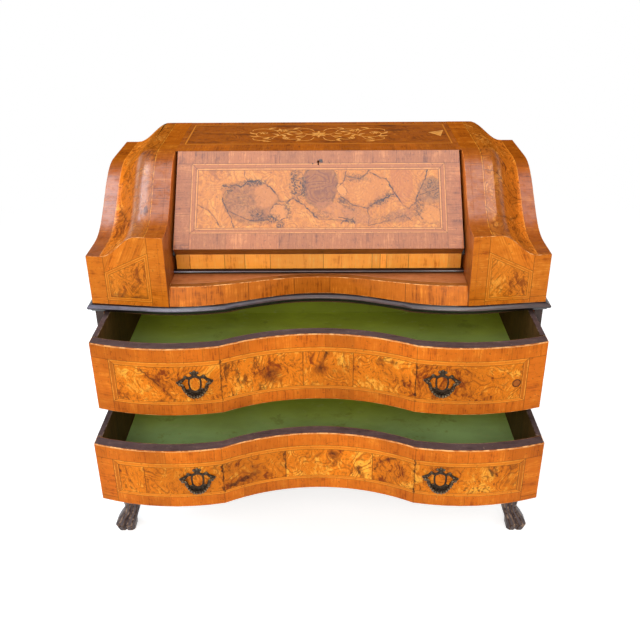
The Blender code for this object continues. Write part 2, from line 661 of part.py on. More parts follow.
def add_fall(root):
    """Fall with its pivots, lock and bolt, carried on the pivot axis."""
    hinge = carrier("fall_hinge", root, (0, PIVOT_Y, PIVOT_Z), FALL_SLOPE)
    half = LOCK_WIDTH / 2
    pocket = block(
        (-half - FIT_GAP, FALL_LENGTH - LOCK_LENGTH - FIT_GAP, -CUT_OVER),
        (half + FIT_GAP, FALL_LENGTH + CUT_OVER, LOCK_DEPTH + FIT_GAP),
    )
    key_y = FALL_LENGTH - KEYHOLE_DROP
    inside, outside = LOCK_DEPTH / 2, FALL_THICK + CUT_OVER
    keyhole = cylinder(KEYHOLE_RADIUS, (0, key_y, inside), (0, key_y, outside), 12)
    slot_half = KEYHOLE_SLOT_WIDTH / 2
    slot = block((-slot_half, key_y - KEYHOLE_SLOT_LENGTH, inside), (slot_half, key_y, outside))
    board = block((-FALL_HALF, 0, 0), (FALL_HALF, FALL_LENGTH, FALL_THICK))
    piece("fall_board", combine(board, [pocket, keyhole, slot], "DIFFERENCE"), "burr_walnut", hinge)
    bolt_low = FALL_LENGTH - BOLT_LENGTH - BOLT_PLAY
    channel = lock_slot(BOLT_PLAY, bolt_low - BOLT_PLAY, FALL_LENGTH + CUT_OVER)
    case = block((-half, FALL_LENGTH - LOCK_LENGTH, FIT_GAP), (half, FALL_LENGTH - FIT_GAP, LOCK_DEPTH))
    piece("lock_case", combine(case, [channel], "DIFFERENCE"), "iron", hinge)
    piece("lock_bolt", lock_slot(0.0, bolt_low, FALL_LENGTH - BOLT_PLAY), "iron", hinge)
    for side, sign in (("left", -1), ("right", 1)):
        piece(f"fall_pivot_{side}", pivot_plate(sign), "iron", hinge)


def small_drawer(x0, x1, z0, z1):
    """Little open box with a turned knob on its front."""
    wall = SMALL_DRAWER_WALL
    depth = BACK_FRONT_Y - SMALL_DRAWER_BACK_ROOM
    box = block((x0, INTERIOR_FRONT_Y, z0), (x1, depth, z1))
    well = block((x0 + wall, INTERIOR_FRONT_Y + wall, z0 + wall), (x1 - wall, depth - wall, z1 + wall))
    centre_x, centre_z = (x0 + x1) / 2, (z0 + z1) / 2
    tip = INTERIOR_FRONT_Y - SMALL_KNOB_REACH
    stations = (
        (SMALL_KNOB_NECK, INTERIOR_FRONT_Y + wall / 2),
        (SMALL_KNOB_NECK, tip + SMALL_KNOB_HEAD),
        (SMALL_KNOB_RADIUS, tip + SMALL_KNOB_HEAD / 2),
        (SMALL_KNOB_NECK, tip),
    )
    angles = [2 * math.pi * i / 12 for i in range(12)]
    loops = []
    for radius, y in stations:
        ring = [(centre_x + radius * math.cos(a), y, centre_z + radius * math.sin(a)) for a in angles]
        loops.append(ring)
    box = combine(box, [well], "DIFFERENCE")
    return combine(box, [loft(loops)], "UNION")


def add_interior(root):
    """Pigeonholes behind the fall, with a small drawer under each side shelf."""
    half = INTERIOR_THICK / 2
    for side, sign in (("left", -1), ("right", 1)):
        x0, x1 = sorted((sign * INTERIOR_DIVIDER_X - half, sign * INTERIOR_DIVIDER_X + half))
        divider = block((x0, INTERIOR_FRONT_Y, INTERIOR_FLOOR_Z), (x1, BACK_FRONT_Y, UNDER_TOP_Z))
        piece(f"interior_divider_{side}", divider, "walnut", root)
        near = INTERIOR_DIVIDER_X + half + FIT_GAP
        x0, x1 = sorted((sign * near, sign * UPPER_HALF))
        shelf_top = INTERIOR_SHELF_Z + INTERIOR_THICK
        shelf = block((x0, INTERIOR_FRONT_Y, INTERIOR_SHELF_Z), (x1, BACK_FRONT_Y, shelf_top))
        piece(f"interior_shelf_{side}", shelf, "walnut", root)
        play = SMALL_DRAWER_PLAY
        box = small_drawer(x0 + play, x1 - play, INTERIOR_FLOOR_Z, INTERIOR_FLOOR_Z + SMALL_DRAWER_HEIGHT)
        piece(f"small_drawer_{side}", box, "walnut", root)


def handle_plate():
    """Pierced cartouche with a crest, two ears and two posts bored for the bail."""
    half = (
        (0.0, 38.0), (6.0, 36.5), (9.0, 33.0), (13.0, 34.0), (14.5, 30.0), (10.5, 25.5), (9.0, 21.0),
        (13.0, 19.5), (19.0, 21.5), (24.0, 21.0), (27.0, 17.5), (27.5, 13.5), (35.0, 11.0), (43.0, 6.0),
        (37.0, 1.5), (32.0, -1.0), (27.5, -6.0), (25.0, -13.0), (20.5, -20.0), (14.0, -26.0), (7.0, -29.5),
        (0.0, -31.0),
    )
    shield = (
        (0.0, 15.0), (7.0, 12.5), (12.5, 8.0), (15.5, 1.0), (14.0, -8.0), (9.5, -15.5), (4.0, -20.0),
        (0.0, -21.5),
    )
    millimetre = 0.001

    def mirrored(points):
        left = [(-a, b) for a, b in reversed(points) if a > 0]
        return list(points) + left

    bm = bmesh.new()
    edges = []
    for loop in (mirrored(half), mirrored(shield)):
        verts = [bm.verts.new((a * millimetre, -FIT_GAP, b * millimetre)) for a, b in loop]
        edges += [bm.edges.new((a, b)) for a, b in zip(verts, verts[1:] + verts[:1])]
    filled = bmesh.ops.triangle_fill(bm, use_beauty=True, use_dissolve=False, edges=edges)
    faces = [f for f in filled["geom"] if isinstance(f, bmesh.types.BMFace)]
    raised = bmesh.ops.extrude_face_region(bm, geom=faces)
    verts = [v for v in raised["geom"] if isinstance(v, bmesh.types.BMVert)]
    bmesh.ops.translate(bm, verts=verts, vec=(0, -PLATE_THICK, 0))
    plate = closed_mesh(bm)
    posts, bores = [], []
    for x in (-POST_X, POST_X):
        foot = (x, -PLATE_THICK / 2, BAIL_AXIS_RISE)
        posts.append(cylinder(POST_RADIUS, foot, (x, -POST_REACH, BAIL_AXIS_RISE), 12))
        reach = POST_RADIUS + CUT_OVER
        ends = [(x + reach * s, -BAIL_AXIS_REACH, BAIL_AXIS_RISE) for s in (-1, 1)]
        bores.append(cylinder(BAIL_EYE_RADIUS, ends[0], ends[1], 10))
    return combine(combine(plate, posts, "UNION"), bores, "DIFFERENCE")


def smooth_path(points, steps):
    """Catmull-Rom curve through points of any dimension."""
    padded = [points[0]] + list(points) + [points[-1]]
    path = []
    for a, b, c, d in zip(padded, padded[1:], padded[2:], padded[3:]):
        for i in range(steps):
            t = i / steps
            pull_a = -t + 2 * t ** 2 - t ** 3
            pull_b = 2 - 5 * t ** 2 + 3 * t ** 3
            pull_c = t + 4 * t ** 2 - 3 * t ** 3
            pull_d = t ** 3 - t ** 2
            step = [pull_a * p + pull_b * q + pull_c * r + pull_d * s for p, q, r, s in zip(a, b, c, d)]
            path.append(tuple(value / 2 for value in step))
    path.append(tuple(points[-1]))
    return path


def bail_mesh():
    """Hanging bail, swelling towards the middle, with a pin turned out at each end."""
    half = [
        # across, up from the axis, radius
        (POST_X + POST_RADIUS, 0.0, BAIL_PIN_RADIUS),
        (POST_X - POST_RADIUS + BAIL_POST_ROOM, 0.0, BAIL_PIN_RADIUS),
    ]
    for degrees in (4, 18, 34, 50, 66, 80, 90):
        angle = math.radians(degrees)
        radius = blend(BAIL_SHANK_RADIUS, BAIL_GRIP_RADIUS, ease(degrees / 90))
        half.append((BAIL_HALF * math.cos(angle), -BAIL_DROP * math.sin(angle), radius))
    points = half + [(-across, up, radius) for across, up, radius in reversed(half[:-1])]
    path = smooth_path(points, 3)
    sides = 8
    loops = []
    for i, (x, z, radius) in enumerate(path):
        before, after = path[max(i - 1, 0)], path[min(i + 1, len(path) - 1)]
        run = Vector((after[0] - before[0], 0, after[1] - before[1])).normalized()
        across = Vector((run.z, 0, -run.x))
        ring = []
        for k in range(sides):
            angle = 2 * math.pi * (k + 0.5) / sides
            offset = across * math.cos(angle) + Vector((0, 1, 0)) * math.sin(angle)
            ring.append(Vector((x, 0, z)) + offset * radius)
        loops.append(ring)
    return loft(loops, 50)


def add_handles(drawer, name, z, plate, bail):
    """Two handles on a drawer front, set along the front's slope."""
    for side, sign in (("left", -1), ("right", 1)):
        x = sign * HANDLE_X
        step = 0.001
        slope = math.atan2(front_line(x + step) - front_line(x - step), 2 * step)
        seat = (x, front_line(x), z)
        piece(f"{name}_handle_plate_{side}", plate, "bronze", drawer, seat, slope)
        offset = Matrix.Rotation(slope, 3, "Z") @ Vector((0, -BAIL_AXIS_REACH, BAIL_AXIS_RISE))
        hang = Vector(seat) + offset
        piece(f"{name}_handle_bail_{side}", bail, "bronze", drawer, hang, slope)


def add_drawer(root, name, z, height, pull, plate, bail):
    """One long drawer, pulled out by its rest opening."""
    drawer = carrier(f"{name}_slide", root, (0, -pull, 0))
    top = z + height

    def inside_line(x):
        return front_line(x) + DRAWER_FRONT_THICK

    def floor_line(x):
        return inside_line(x) + FIT_GAP

    front = serpentine_board(DRAWER_HALF, front_line, inside_line, z, top)
    piece(f"{name}_front", front, "burr_walnut", drawer)
    start = inside_line(DRAWER_HALF) + FIT_GAP
    for side, sign in (("left", -1), ("right", 1)):
        x0, x1 = sorted((sign * (DRAWER_HALF - DRAWER_SIDE_THICK), sign * DRAWER_HALF))
        piece(f"{name}_side_{side}", block((x0, start, z), (x1, DRAWER_DEPTH, top)), "carcase", drawer)
    inner = DRAWER_HALF - DRAWER_SIDE_THICK - FIT_GAP
    back_y = DRAWER_DEPTH - DRAWER_SIDE_THICK
    piece(f"{name}_back", block((-inner, back_y, z), (inner, DRAWER_DEPTH, top)), "carcase", drawer)
    rise = z + DRAWER_BOTTOM_RISE
    floor_end = back_y - FIT_GAP
    floor = serpentine_board(inner, floor_line, lambda x: floor_end, rise, rise + DRAWER_BOTTOM_THICK)
    piece(f"{name}_bottom", floor, "lining", drawer)
    add_handles(drawer, name, z + height / 2 - HANDLE_DROP, plate, bail)


def centre_footprint(root):
    """Shift the bureau so that the middle of its footprint is at the origin."""
    bpy.context.view_layer.update()
    ys = []
    for thing in bpy.data.objects:
        if thing.type == "MESH":
            ys += [(thing.matrix_world @ vertex.co).y for vertex in thing.data.vertices]
    root.location.y = -(min(ys) + max(ys)) / 2


def main():
    clear_scene()
    root = carrier("bureau", None)
    add_feet(root)
    add_lower_case(root)
    add_waist_moulding(root)
    add_upper_case(root)
    add_fall_seat(root)
    add_interior(root)
    add_fall(root)
    plate, bail = handle_plate(), bail_mesh()
    add_drawer(root, "lower_drawer", LOWER_DRAWER_Z, LOWER_DRAWER_HEIGHT, LOWER_PULL, plate, bail)
    add_drawer(root, "upper_drawer", UPPER_DRAWER_Z, UPPER_DRAWER_HEIGHT, UPPER_PULL, plate, bail)
    centre_footprint(root)


main()
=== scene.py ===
"""Looks of the slant-front bureau: walnut veneers, stringing, marquetry, cast handles, light and camera.

Metres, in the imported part's frame. Veneers are laid out from the pieces' own edges.
"""
import json
import math

import bmesh
import bpy
from mathutils import Matrix, Vector

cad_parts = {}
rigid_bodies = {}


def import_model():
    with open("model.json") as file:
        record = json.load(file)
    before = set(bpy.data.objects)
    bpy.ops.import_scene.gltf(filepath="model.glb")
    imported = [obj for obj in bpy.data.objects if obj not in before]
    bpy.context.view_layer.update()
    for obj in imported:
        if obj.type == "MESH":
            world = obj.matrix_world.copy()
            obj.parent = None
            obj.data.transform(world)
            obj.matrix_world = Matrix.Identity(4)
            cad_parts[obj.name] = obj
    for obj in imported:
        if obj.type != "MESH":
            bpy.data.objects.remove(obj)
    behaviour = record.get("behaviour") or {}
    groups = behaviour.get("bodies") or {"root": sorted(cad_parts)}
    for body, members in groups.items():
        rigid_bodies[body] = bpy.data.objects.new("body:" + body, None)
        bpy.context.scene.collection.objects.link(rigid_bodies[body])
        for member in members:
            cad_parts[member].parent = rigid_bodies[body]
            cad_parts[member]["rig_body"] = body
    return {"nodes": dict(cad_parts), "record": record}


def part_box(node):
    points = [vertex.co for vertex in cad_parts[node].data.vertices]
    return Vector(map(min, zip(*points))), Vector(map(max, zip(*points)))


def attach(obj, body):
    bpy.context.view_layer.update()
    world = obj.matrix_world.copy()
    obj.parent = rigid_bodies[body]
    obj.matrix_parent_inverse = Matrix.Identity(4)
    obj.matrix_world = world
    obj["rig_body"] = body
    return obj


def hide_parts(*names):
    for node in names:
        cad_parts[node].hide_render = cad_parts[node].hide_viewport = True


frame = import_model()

NODES = frame["nodes"]
for startup in [o for o in bpy.data.objects if o.type in ("MESH", "LIGHT", "CAMERA")]:
    if startup not in NODES.values():
        bpy.data.objects.remove(startup)
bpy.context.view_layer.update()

# Edges of the pieces that carry the veneers.
CASE_FRONT_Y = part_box("case_side_left")[0].y
CASE_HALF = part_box("case_side_right")[1].x
DRAWER_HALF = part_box("upper_drawer_front")[1].x
UPPER_LOW_Z, UPPER_HIGH_Z = (corner.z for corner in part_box("upper_drawer_front"))
LOWER_LOW_Z, LOWER_HIGH_Z = (corner.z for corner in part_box("lower_drawer_front"))
FALL_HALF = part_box("fall_board")[1].x
FALL_FOOT = Vector((0.0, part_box("fall_board")[0].y, 0.8570))
FALL_SLOPE = math.radians(47.345)
FALL_LENGTH = 0.2611
BLOCK_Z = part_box("wing_left")[0].z
TOP_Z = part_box("top_board")[1].z
CHEEK_INNER_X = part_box("cheek_right")[0].x
CHEEK_OUTER_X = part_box("cheek_right")[1].x
CREASE_X = 0.2251


def rgb(red, green, blue):
    """A colour as it shows on a screen, 0 to 255, in linear values."""
    shares = [value / 255 for value in (red, green, blue)]
    linear = [s / 12.92 if s <= 0.04045 else ((s + 0.055) / 1.055) ** 2.4 for s in shares]
    return (*linear, 1.0)


BURR_PALE = rgb(250, 172, 58)
BURR_GROUND = rgb(222, 122, 20)
BURR_DEEP = rgb(134, 58, 8)
BAND_PALE = rgb(226, 132, 36)
BAND_GROUND = rgb(206, 106, 20)
BAND_DEEP = rgb(166, 76, 10)
STRING_PALE = rgb(240, 156, 52)
JOINT_INK = rgb(84, 38, 8)
VEIN_INK = rgb(48, 24, 12)
SMOKE_INK = rgb(30, 20, 24)


class Field:
    """A socket whose value changes over a surface. Arithmetic on it adds Math nodes."""

    def __init__(self, finish, socket):
        self.finish = finish
        self.socket = socket

    def output(self, key):
        return Field(self.finish, self.socket.node.outputs[key])

    def sum(self, operation, *others):
        return self.finish.node("ShaderNodeMath", {"operation": operation}, dict(enumerate((self, *others))))

    def turned(self, operation, other):
        return self.finish.node("ShaderNodeMath", {"operation": operation}, {0: other, 1: self})

    def __add__(self, other):
        return self.sum("ADD", other)

    def __sub__(self, other):
        return self.sum("SUBTRACT", other)

    def __rsub__(self, other):
        return self.turned("SUBTRACT", other)

    def __mul__(self, other):
        return self.sum("MULTIPLY", other)

    def __truediv__(self, other):
        return self.sum("DIVIDE", other)

    def __rtruediv__(self, other):
        return self.turned("DIVIDE", other)

    def __pow__(self, other):
        return self.sum("POWER", other)

    def __gt__(self, other):
        return self.sum("GREATER_THAN", other)

    def __lt__(self, other):
        return self.sum("LESS_THAN", other)

    def __abs__(self):
        return self.sum("ABSOLUTE")

    def __floor__(self):
        return self.sum("FLOOR")

    def least(self, other):
        return self.sum("MINIMUM", other)

    def most(self, other):
        return self.sum("MAXIMUM", other)

    def wave(self):
        return self.sum("SINE")

    __radd__ = __add__
    __rmul__ = __mul__


class Finish:
    """A material, or the world, and the nodes that make it."""

    def __init__(self, name, owner=None):
        self.material = owner or bpy.data.materials.new(name)
        self.material.use_nodes = True
        self.tree = self.material.node_tree
        self.tree.nodes.clear()
        self.place = self.node("ShaderNodeTexCoord", output="Object")

    def node(self, kind, settings=None, sockets=None, output=0):
        made = self.tree.nodes.new(kind)
        for key, value in (settings or {}).items():
            if key == "stops":
                self.set_stops(made.color_ramp, value)
            else:
                setattr(made, key, value)
        for key, value in (sockets or {}).items():
            if isinstance(value, Field):
                self.tree.links.new(value.socket, made.inputs[key])
            else:
                made.inputs[key].default_value = value
        return Field(self, made.outputs[output]) if made.outputs else None

    def set_stops(self, ramp, stops):
        while len(ramp.elements) < len(stops):
            ramp.elements.new(0.5)
        for element, (position, colour) in zip(ramp.elements, stops):
            element.position = position
            element.color = colour

    def parts(self, vector):
        split = self.node("ShaderNodeSeparateXYZ", sockets={0: vector})
        return split, split.output(1), split.output(2)

    def flat(self, across, up, depth=0.0):
        return self.node("ShaderNodeCombineXYZ", sockets={0: across, 1: up, 2: depth})

    def stretched(self, vector, factors):
        return self.node("ShaderNodeVectorMath", {"operation": "MULTIPLY"}, {0: vector, 1: factors})

    def noise(self, vector, scale, detail=2.0, rough=0.5):
        sockets = {"Vector": vector, "Scale": scale, "Detail": detail, "Roughness": rough}
        return self.node("ShaderNodeTexNoise", {}, sockets)

    def drifted(self, vector, scale, amount, detail=2.0):
        sockets = {"Vector": vector, "Scale": scale, "Detail": detail}
        push = self.node("ShaderNodeTexNoise", {}, sockets, 1)
        centred = self.node("ShaderNodeVectorMath", {"operation": "SUBTRACT"}, {0: push, 1: (0.5, 0.5, 0.5)})
        shift = {0: centred, 1: (amount, amount, amount), 2: vector}
        return self.node("ShaderNodeVectorMath", {"operation": "MULTIPLY_ADD"}, shift)

    def cells(self, vector, scale, feature="F1"):
        return self.node("ShaderNodeTexVoronoi", {"feature": feature}, {"Vector": vector, "Scale": scale})

    def chance(self, number):
        return self.node("ShaderNodeTexWhiteNoise", {"noise_dimensions": "1D"}, {"W": number})

    def step(self, value, low, high):
        settings = {"interpolation_type": "SMOOTHSTEP"}
        return self.node("ShaderNodeMapRange", settings, {0: value, 1: low, 2: high, 3: 0.0, 4: 1.0})

    def line(self, value, centre, half, soft=0.0004):
        return 1 - self.step(abs(value - centre), half, half + soft)

    def mix(self, first, second, share):
        sockets = {0: share, 6: first, 7: second}
        return self.node("ShaderNodeMix", {"data_type": "RGBA"}, sockets, 2)

    def shaded(self, colour, factor):
        return self.node("ShaderNodeVectorMath", {"operation": "SCALE"}, {0: colour, 3: factor})

    def ramp(self, value, *stops):
        return self.node("ShaderNodeValToRGB", {"stops": stops}, {0: value})

    def spot(self, flat, centre, reach, turn=0.0):
        """Distance from a spot's middle, 1 on its rim."""
        shift = (-centre[0], -centre[1], 0.0)
        moved = self.node("ShaderNodeVectorMath", {"operation": "ADD"}, {0: flat, 1: shift})
        angle = math.radians(turn)
        settings = {"rotation_type": "Z_AXIS"}
        spun = self.node("ShaderNodeVectorRotate", settings, {"Vector": moved, "Angle": -angle})
        shrunk = self.stretched(spun, (1 / reach[0], 1 / reach[1], 0.0))
        return self.node("ShaderNodeVectorMath", {"operation": "LENGTH"}, {0: shrunk}, 1)

    def stroke(self, flat, points):
        """Distance in metres from a line through points."""
        nearest = None
        sheet = self.stretched(flat, (1.0, 1.0, 0.0))
        for start, end in zip(points, points[1:]):
            run = Vector((end[0] - start[0], end[1] - start[1], 0.0))
            way = tuple(run.normalized())
            shift = (-start[0], -start[1], 0.0)
            moved = self.node("ShaderNodeVectorMath", {"operation": "ADD"}, {0: sheet, 1: shift})
            along = self.node("ShaderNodeVectorMath", {"operation": "DOT_PRODUCT"}, {0: moved, 1: way}, 1)
            along = along.most(0.0).least(run.length)
            foot = self.node("ShaderNodeVectorMath", {"operation": "SCALE"}, {0: way, 3: along})
            apart = self.node("ShaderNodeVectorMath", {"operation": "SUBTRACT"}, {0: moved, 1: foot})
            gap = self.node("ShaderNodeVectorMath", {"operation": "LENGTH"}, {0: apart}, 1)
            nearest = gap if nearest is None else nearest.least(gap)
        return nearest

    def close(self, shader):
        self.node("ShaderNodeOutputMaterial", sockets={0: shader})
        return self.material

    def polish(self, colour, height, rough=0.38, shine=0.35, haze=0.14, level=0.2, relief=0.3, gloss=1.5):
        """French polish over a wood of this colour, with the pores as a slight relief."""
        sockets = {"Height": height, "Strength": relief, "Distance": 0.0006}
        normal = self.node("ShaderNodeBump", {}, sockets)
        sockets = {
            "Base Color": colour, "Roughness": rough, "Normal": normal, "Specular IOR Level": level,
            "Coat Weight": shine, "Coat Roughness": haze, "Coat IOR": gloss,
        }
        return self.close(self.node("ShaderNodeBsdfPrincipled", {}, sockets))


def burr(f, across, up, leaf, tones=(BURR_DEEP, BURR_GROUND, BURR_PALE), stain=1.0):
    """Burr walnut: curled clouds of tone, broken contours, eyes, dashes and pores. Colour and height."""
    deep, ground, pale = tones
    flat = f.flat(across, up, leaf)
    bent = f.drifted(flat, 7.0, 0.09)
    curled = f.drifted(bent, 34.0, 0.024, 4.0)
    cloud = f.noise(curled, 13.0, 7.0, 0.68)
    curl = f.noise(f.stretched(curled, (1.0, 0.28, 1.0)), 110.0, 5.0, 0.66)
    value = cloud * 0.58 + curl * 0.42
    colour = f.ramp(value, (0.395, deep), (0.465, ground), (0.525, ground), (0.600, pale))
    contour = (f.noise(bent, 5.0, 3.0) * 230.0 + cloud * 9.0).wave() * 0.5 + 0.5
    broken = f.step(f.noise(curled, 26.0, 3.0), 0.42, 0.60)
    colour = f.mix(colour, deep, contour ** 4.0 * broken * 0.65)
    eyes = 1 - f.step(f.cells(curled, 80.0), 0.14, 0.42)
    clusters = f.step(f.noise(bent, 8.0, 3.0), 0.52, 0.64)
    blot = f.step(f.noise(curled, 17.0, 6.0, 0.70), 0.585, 0.68)
    dash = f.step(f.noise(f.stretched(curled, (1.0, 0.14, 1.0)), 240.0, 3.0, 0.6), 0.62, 0.70)
    pores = f.noise(f.stretched(curled, (1.0, 0.3, 1.0)), 430.0, 2.0)
    colour = f.mix(colour, VEIN_INK, blot * (0.62 * stain))
    colour = f.mix(colour, VEIN_INK, eyes * clusters * (0.70 * stain))
    colour = f.mix(colour, JOINT_INK, dash * (0.30 + 0.35 * stain))
    colour = f.mix(colour, deep, f.step(pores, 0.55, 0.70) * 0.42)
    return colour, pores * 0.6 + curl * 0.4


def grained(f, cross, run, seed, tones=(BAND_DEEP, BAND_GROUND, BAND_PALE)):
    """Straight-grained walnut: cross runs across the grain and run along it. Colour and height."""
    deep, ground, pale = tones
    streaks = f.noise(f.flat(cross, run * 0.06, seed), 320.0, 4.0, 0.65)
    ribbon = f.noise(f.flat(cross, run * 0.22, seed), 34.0, 4.0, 0.6)
    fiddle = f.noise(f.flat(cross * 0.5, run, seed), 70.0, 3.0, 0.6)
    value = streaks * 0.42 + ribbon * 0.38 + fiddle * 0.20
    colour = f.ramp(value, (0.390, deep), (0.475, ground), (0.525, ground), (0.615, pale))
    colour = f.mix(colour, JOINT_INK, f.step(streaks, 0.60, 0.74) * 0.32)
    return colour, streaks


def crossband(f, along, across, seed, length=0.085, tones=(BAND_DEEP, BAND_GROUND, BAND_PALE), spread=0.22):
    """Band of short veneers with their grain across it, each of its own tone. Colour and height."""
    count = (along + (along * 29.0 + seed).wave() * 0.016) / length
    number = math.floor(count)
    colour, height = grained(f, along, across, number * 1.7 + seed, tones)
    tone = f.chance(number + seed)
    colour = f.shaded(colour, tone * spread + (1.0 - spread / 2))
    seam = f.line(count - number, 0.0, 0.0045, 0.004)
    return f.mix(colour, JOINT_INK, seam * 0.6), height


def marked(f, colour, flat, veins=(), knots=(), ink=VEIN_INK, halo=0.30):
    """Adds a leaf's own veins and knots to its figure, ragged and uneven in width."""
    fray = f.noise(flat, 75.0, 5.0, 0.72)
    faded = f.step(f.noise(flat, 24.0, 3.0, 0.6), 0.34, 0.58) * 0.65 + 0.35
    for points, half, strength in veins:
        reach = f.stroke(flat, points)
        ragged = reach / (fray * (half * 5.0) - half * 1.5)
        stain = 1 - f.step(reach, half, half * 6.0)
        colour = f.mix(colour, BURR_DEEP, stain * (strength * halo))
        colour = f.mix(colour, ink, (1 - f.step(ragged, 0.5, 1.5)) * faded * strength)
    for centre, reach, turn, strength in knots:
        far = f.spot(flat, centre, reach, turn) + fray * 1.6 - 0.8
        colour = f.mix(colour, BURR_DEEP, (1 - f.step(far, 0.5, 1.6)) * (strength * 0.7))
        colour = f.mix(colour, ink, (1 - f.step(far, 0.30, 1.05)) * f.step(fray, 0.36, 0.60) * strength)
    return colour


# Widths of the veneer bands on the long drawers, from the edges inwards.
SIDE_BAND, SIDE_STRING = 0.0425, 0.0135
HEAD_BAND, HEAD_STRING = 0.0355, 0.0120
FOOT_BAND, FOOT_STRING = 0.0300, 0.0090
STRING_GROUND = rgb(218, 122, 26)
STRING_SHADE = rgb(168, 84, 18)


def stringing(f, ring, sideways, wear, pale=STRING_PALE, ground=STRING_GROUND, shade=STRING_SHADE):
    """Band of stringing where ring runs from 0 to 1 inwards. sideways is negative on the upright lengths."""
    colour = f.mix(ground, shade, (sideways < 0.0) * 0.6)
    colour = f.mix(colour, pale, f.line(ring, 0.14, 0.08, 0.06) * wear)
    colour = f.mix(colour, pale, f.line(ring, 0.80, 0.05, 0.06) * wear * 0.75)
    colour = f.mix(colour, JOINT_INK, f.line(ring, 0.97, 0.05, 0.05) * 0.65)
    return f.mix(colour, JOINT_INK, f.line(sideways, 0.0, 0.06, 0.05) * 0.55)


def drawer_veneer(name, node, seed, joints, veins, knots, streaks=None, plug=None):
    """Front of a long drawer: crossbanded border, mitred stringing and leaves of burr."""
    low_z, high_z = (corner.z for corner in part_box(node))
    f = Finish(name)
    x, y, z = f.parts(f.place)
    up = z - low_z
    down = high_z - z
    side = DRAWER_HALF - abs(x)
    by_side = (side - SIDE_BAND) / SIDE_STRING
    level = ((down - HEAD_BAND) / HEAD_STRING).least((up - FOOT_BAND) / FOOT_STRING)
    ring = by_side.least(level)
    leaf = sum((x > joint) * 3.7 for joint in joints) + seed
    sheet = f.flat(x, up, seed)
    colour, height = burr(f, x, up, leaf)
    colour = f.shaded(colour, f.chance(leaf) * 0.22 + 0.86)
    flat = f.drifted(f.drifted(sheet, 30.0, 0.016), 120.0, 0.007, 3.0)
    if streaks:
        comb = f.step(f.noise(f.stretched(flat, (1.0, 0.16, 1.0)), 130.0, 3.0, 0.6), 0.50, 0.64)
        zone = f.line(x, sum(streaks) / 2, abs(streaks[1] - streaks[0]) / 2, 0.02)
        colour = f.mix(colour, VEIN_INK, comb * zone * 0.62)
    colour = marked(f, colour, flat, veins, knots)
    if plug:
        far = f.spot(f.flat(x, up), plug, (0.0102, 0.0102))
        colour = f.mix(colour, rgb(150, 78, 28), (1 - f.step(far, 0.90, 1.0)) * 0.85)
        colour = f.mix(colour, VEIN_INK, f.line(far, 0.92, 0.10, 0.12) * 0.8)
    for joint in joints:
        colour = f.mix(colour, JOINT_INK, f.line(x, joint, 0.0005, 0.0008) * 0.75)
    head, head_height = crossband(f, x, up, seed + 1.0)
    ends, end_height = crossband(f, up, x, seed + 5.0, 0.21)
    on_end = (side < SIDE_BAND) * (down > HEAD_BAND)
    bands = f.mix(head, ends, on_end)
    seams = f.line(down, HEAD_BAND, 0.0004, 0.0006) * (side < SIDE_BAND)
    seams = seams.most(f.line(side, SIDE_BAND, 0.0004, 0.0006) * (up < FOOT_BAND))
    seams = seams.most(f.line(abs(x), CREASE_X, 0.0005, 0.0010) * 0.7)
    bands = f.mix(bands, JOINT_INK, seams * 0.6)
    wear = f.step(f.noise(sheet, 55.0, 4.0, 0.7), 0.36, 0.60) * 0.65 + 0.15
    colour = f.mix(stringing(f, ring, by_side - level, wear), colour, ring > 1.0)
    colour = f.mix(bands, colour, ring > 0.0)
    colour = f.mix(colour, JOINT_INK, f.line(ring, 0.0, 0.04, 0.05) * 0.5)
    ragged = abs(x) + f.noise(sheet, 90.0, 4.0, 0.65) * 0.020 - 0.010
    chips = f.step(f.noise(f.flat(x, up, seed + 3.0), 45.0, 3.0), 0.42, 0.58) * (ring > 0.0)
    colour = f.mix(colour, VEIN_INK, f.line(ragged, CREASE_X, 0.0012, 0.0022) * chips * 0.8)
    rubbed = f.noise(f.flat(x, up, seed + 9.0), 40.0, 3.0) * 0.003
    colour = f.mix(colour, rgb(248, 186, 118), (1 - f.step(down + rubbed, 0.0034, 0.0048)) * 0.85)
    # broad random clouds darken the veneer as dirt; the bottom 45 mm of the front is painted darker, as painted shade
    darkening = f.step(f.noise(sheet, 7.0, 3.0), 0.42, 0.62)
    foot = 1 - f.step(up, 0.0, 0.045)
    speck = f.step(f.noise(f.flat(x, up, seed + 7.0), 130.0, 3.0, 0.6), 0.60, 0.68)
    colour = f.mix(f.shaded(colour, 1.03 - darkening * 0.16 - foot * 0.08), JOINT_INK, speck * 0.45)
    return f.polish(colour, height + head_height * 0.4, rough=0.46, shine=0.08, level=0.05)


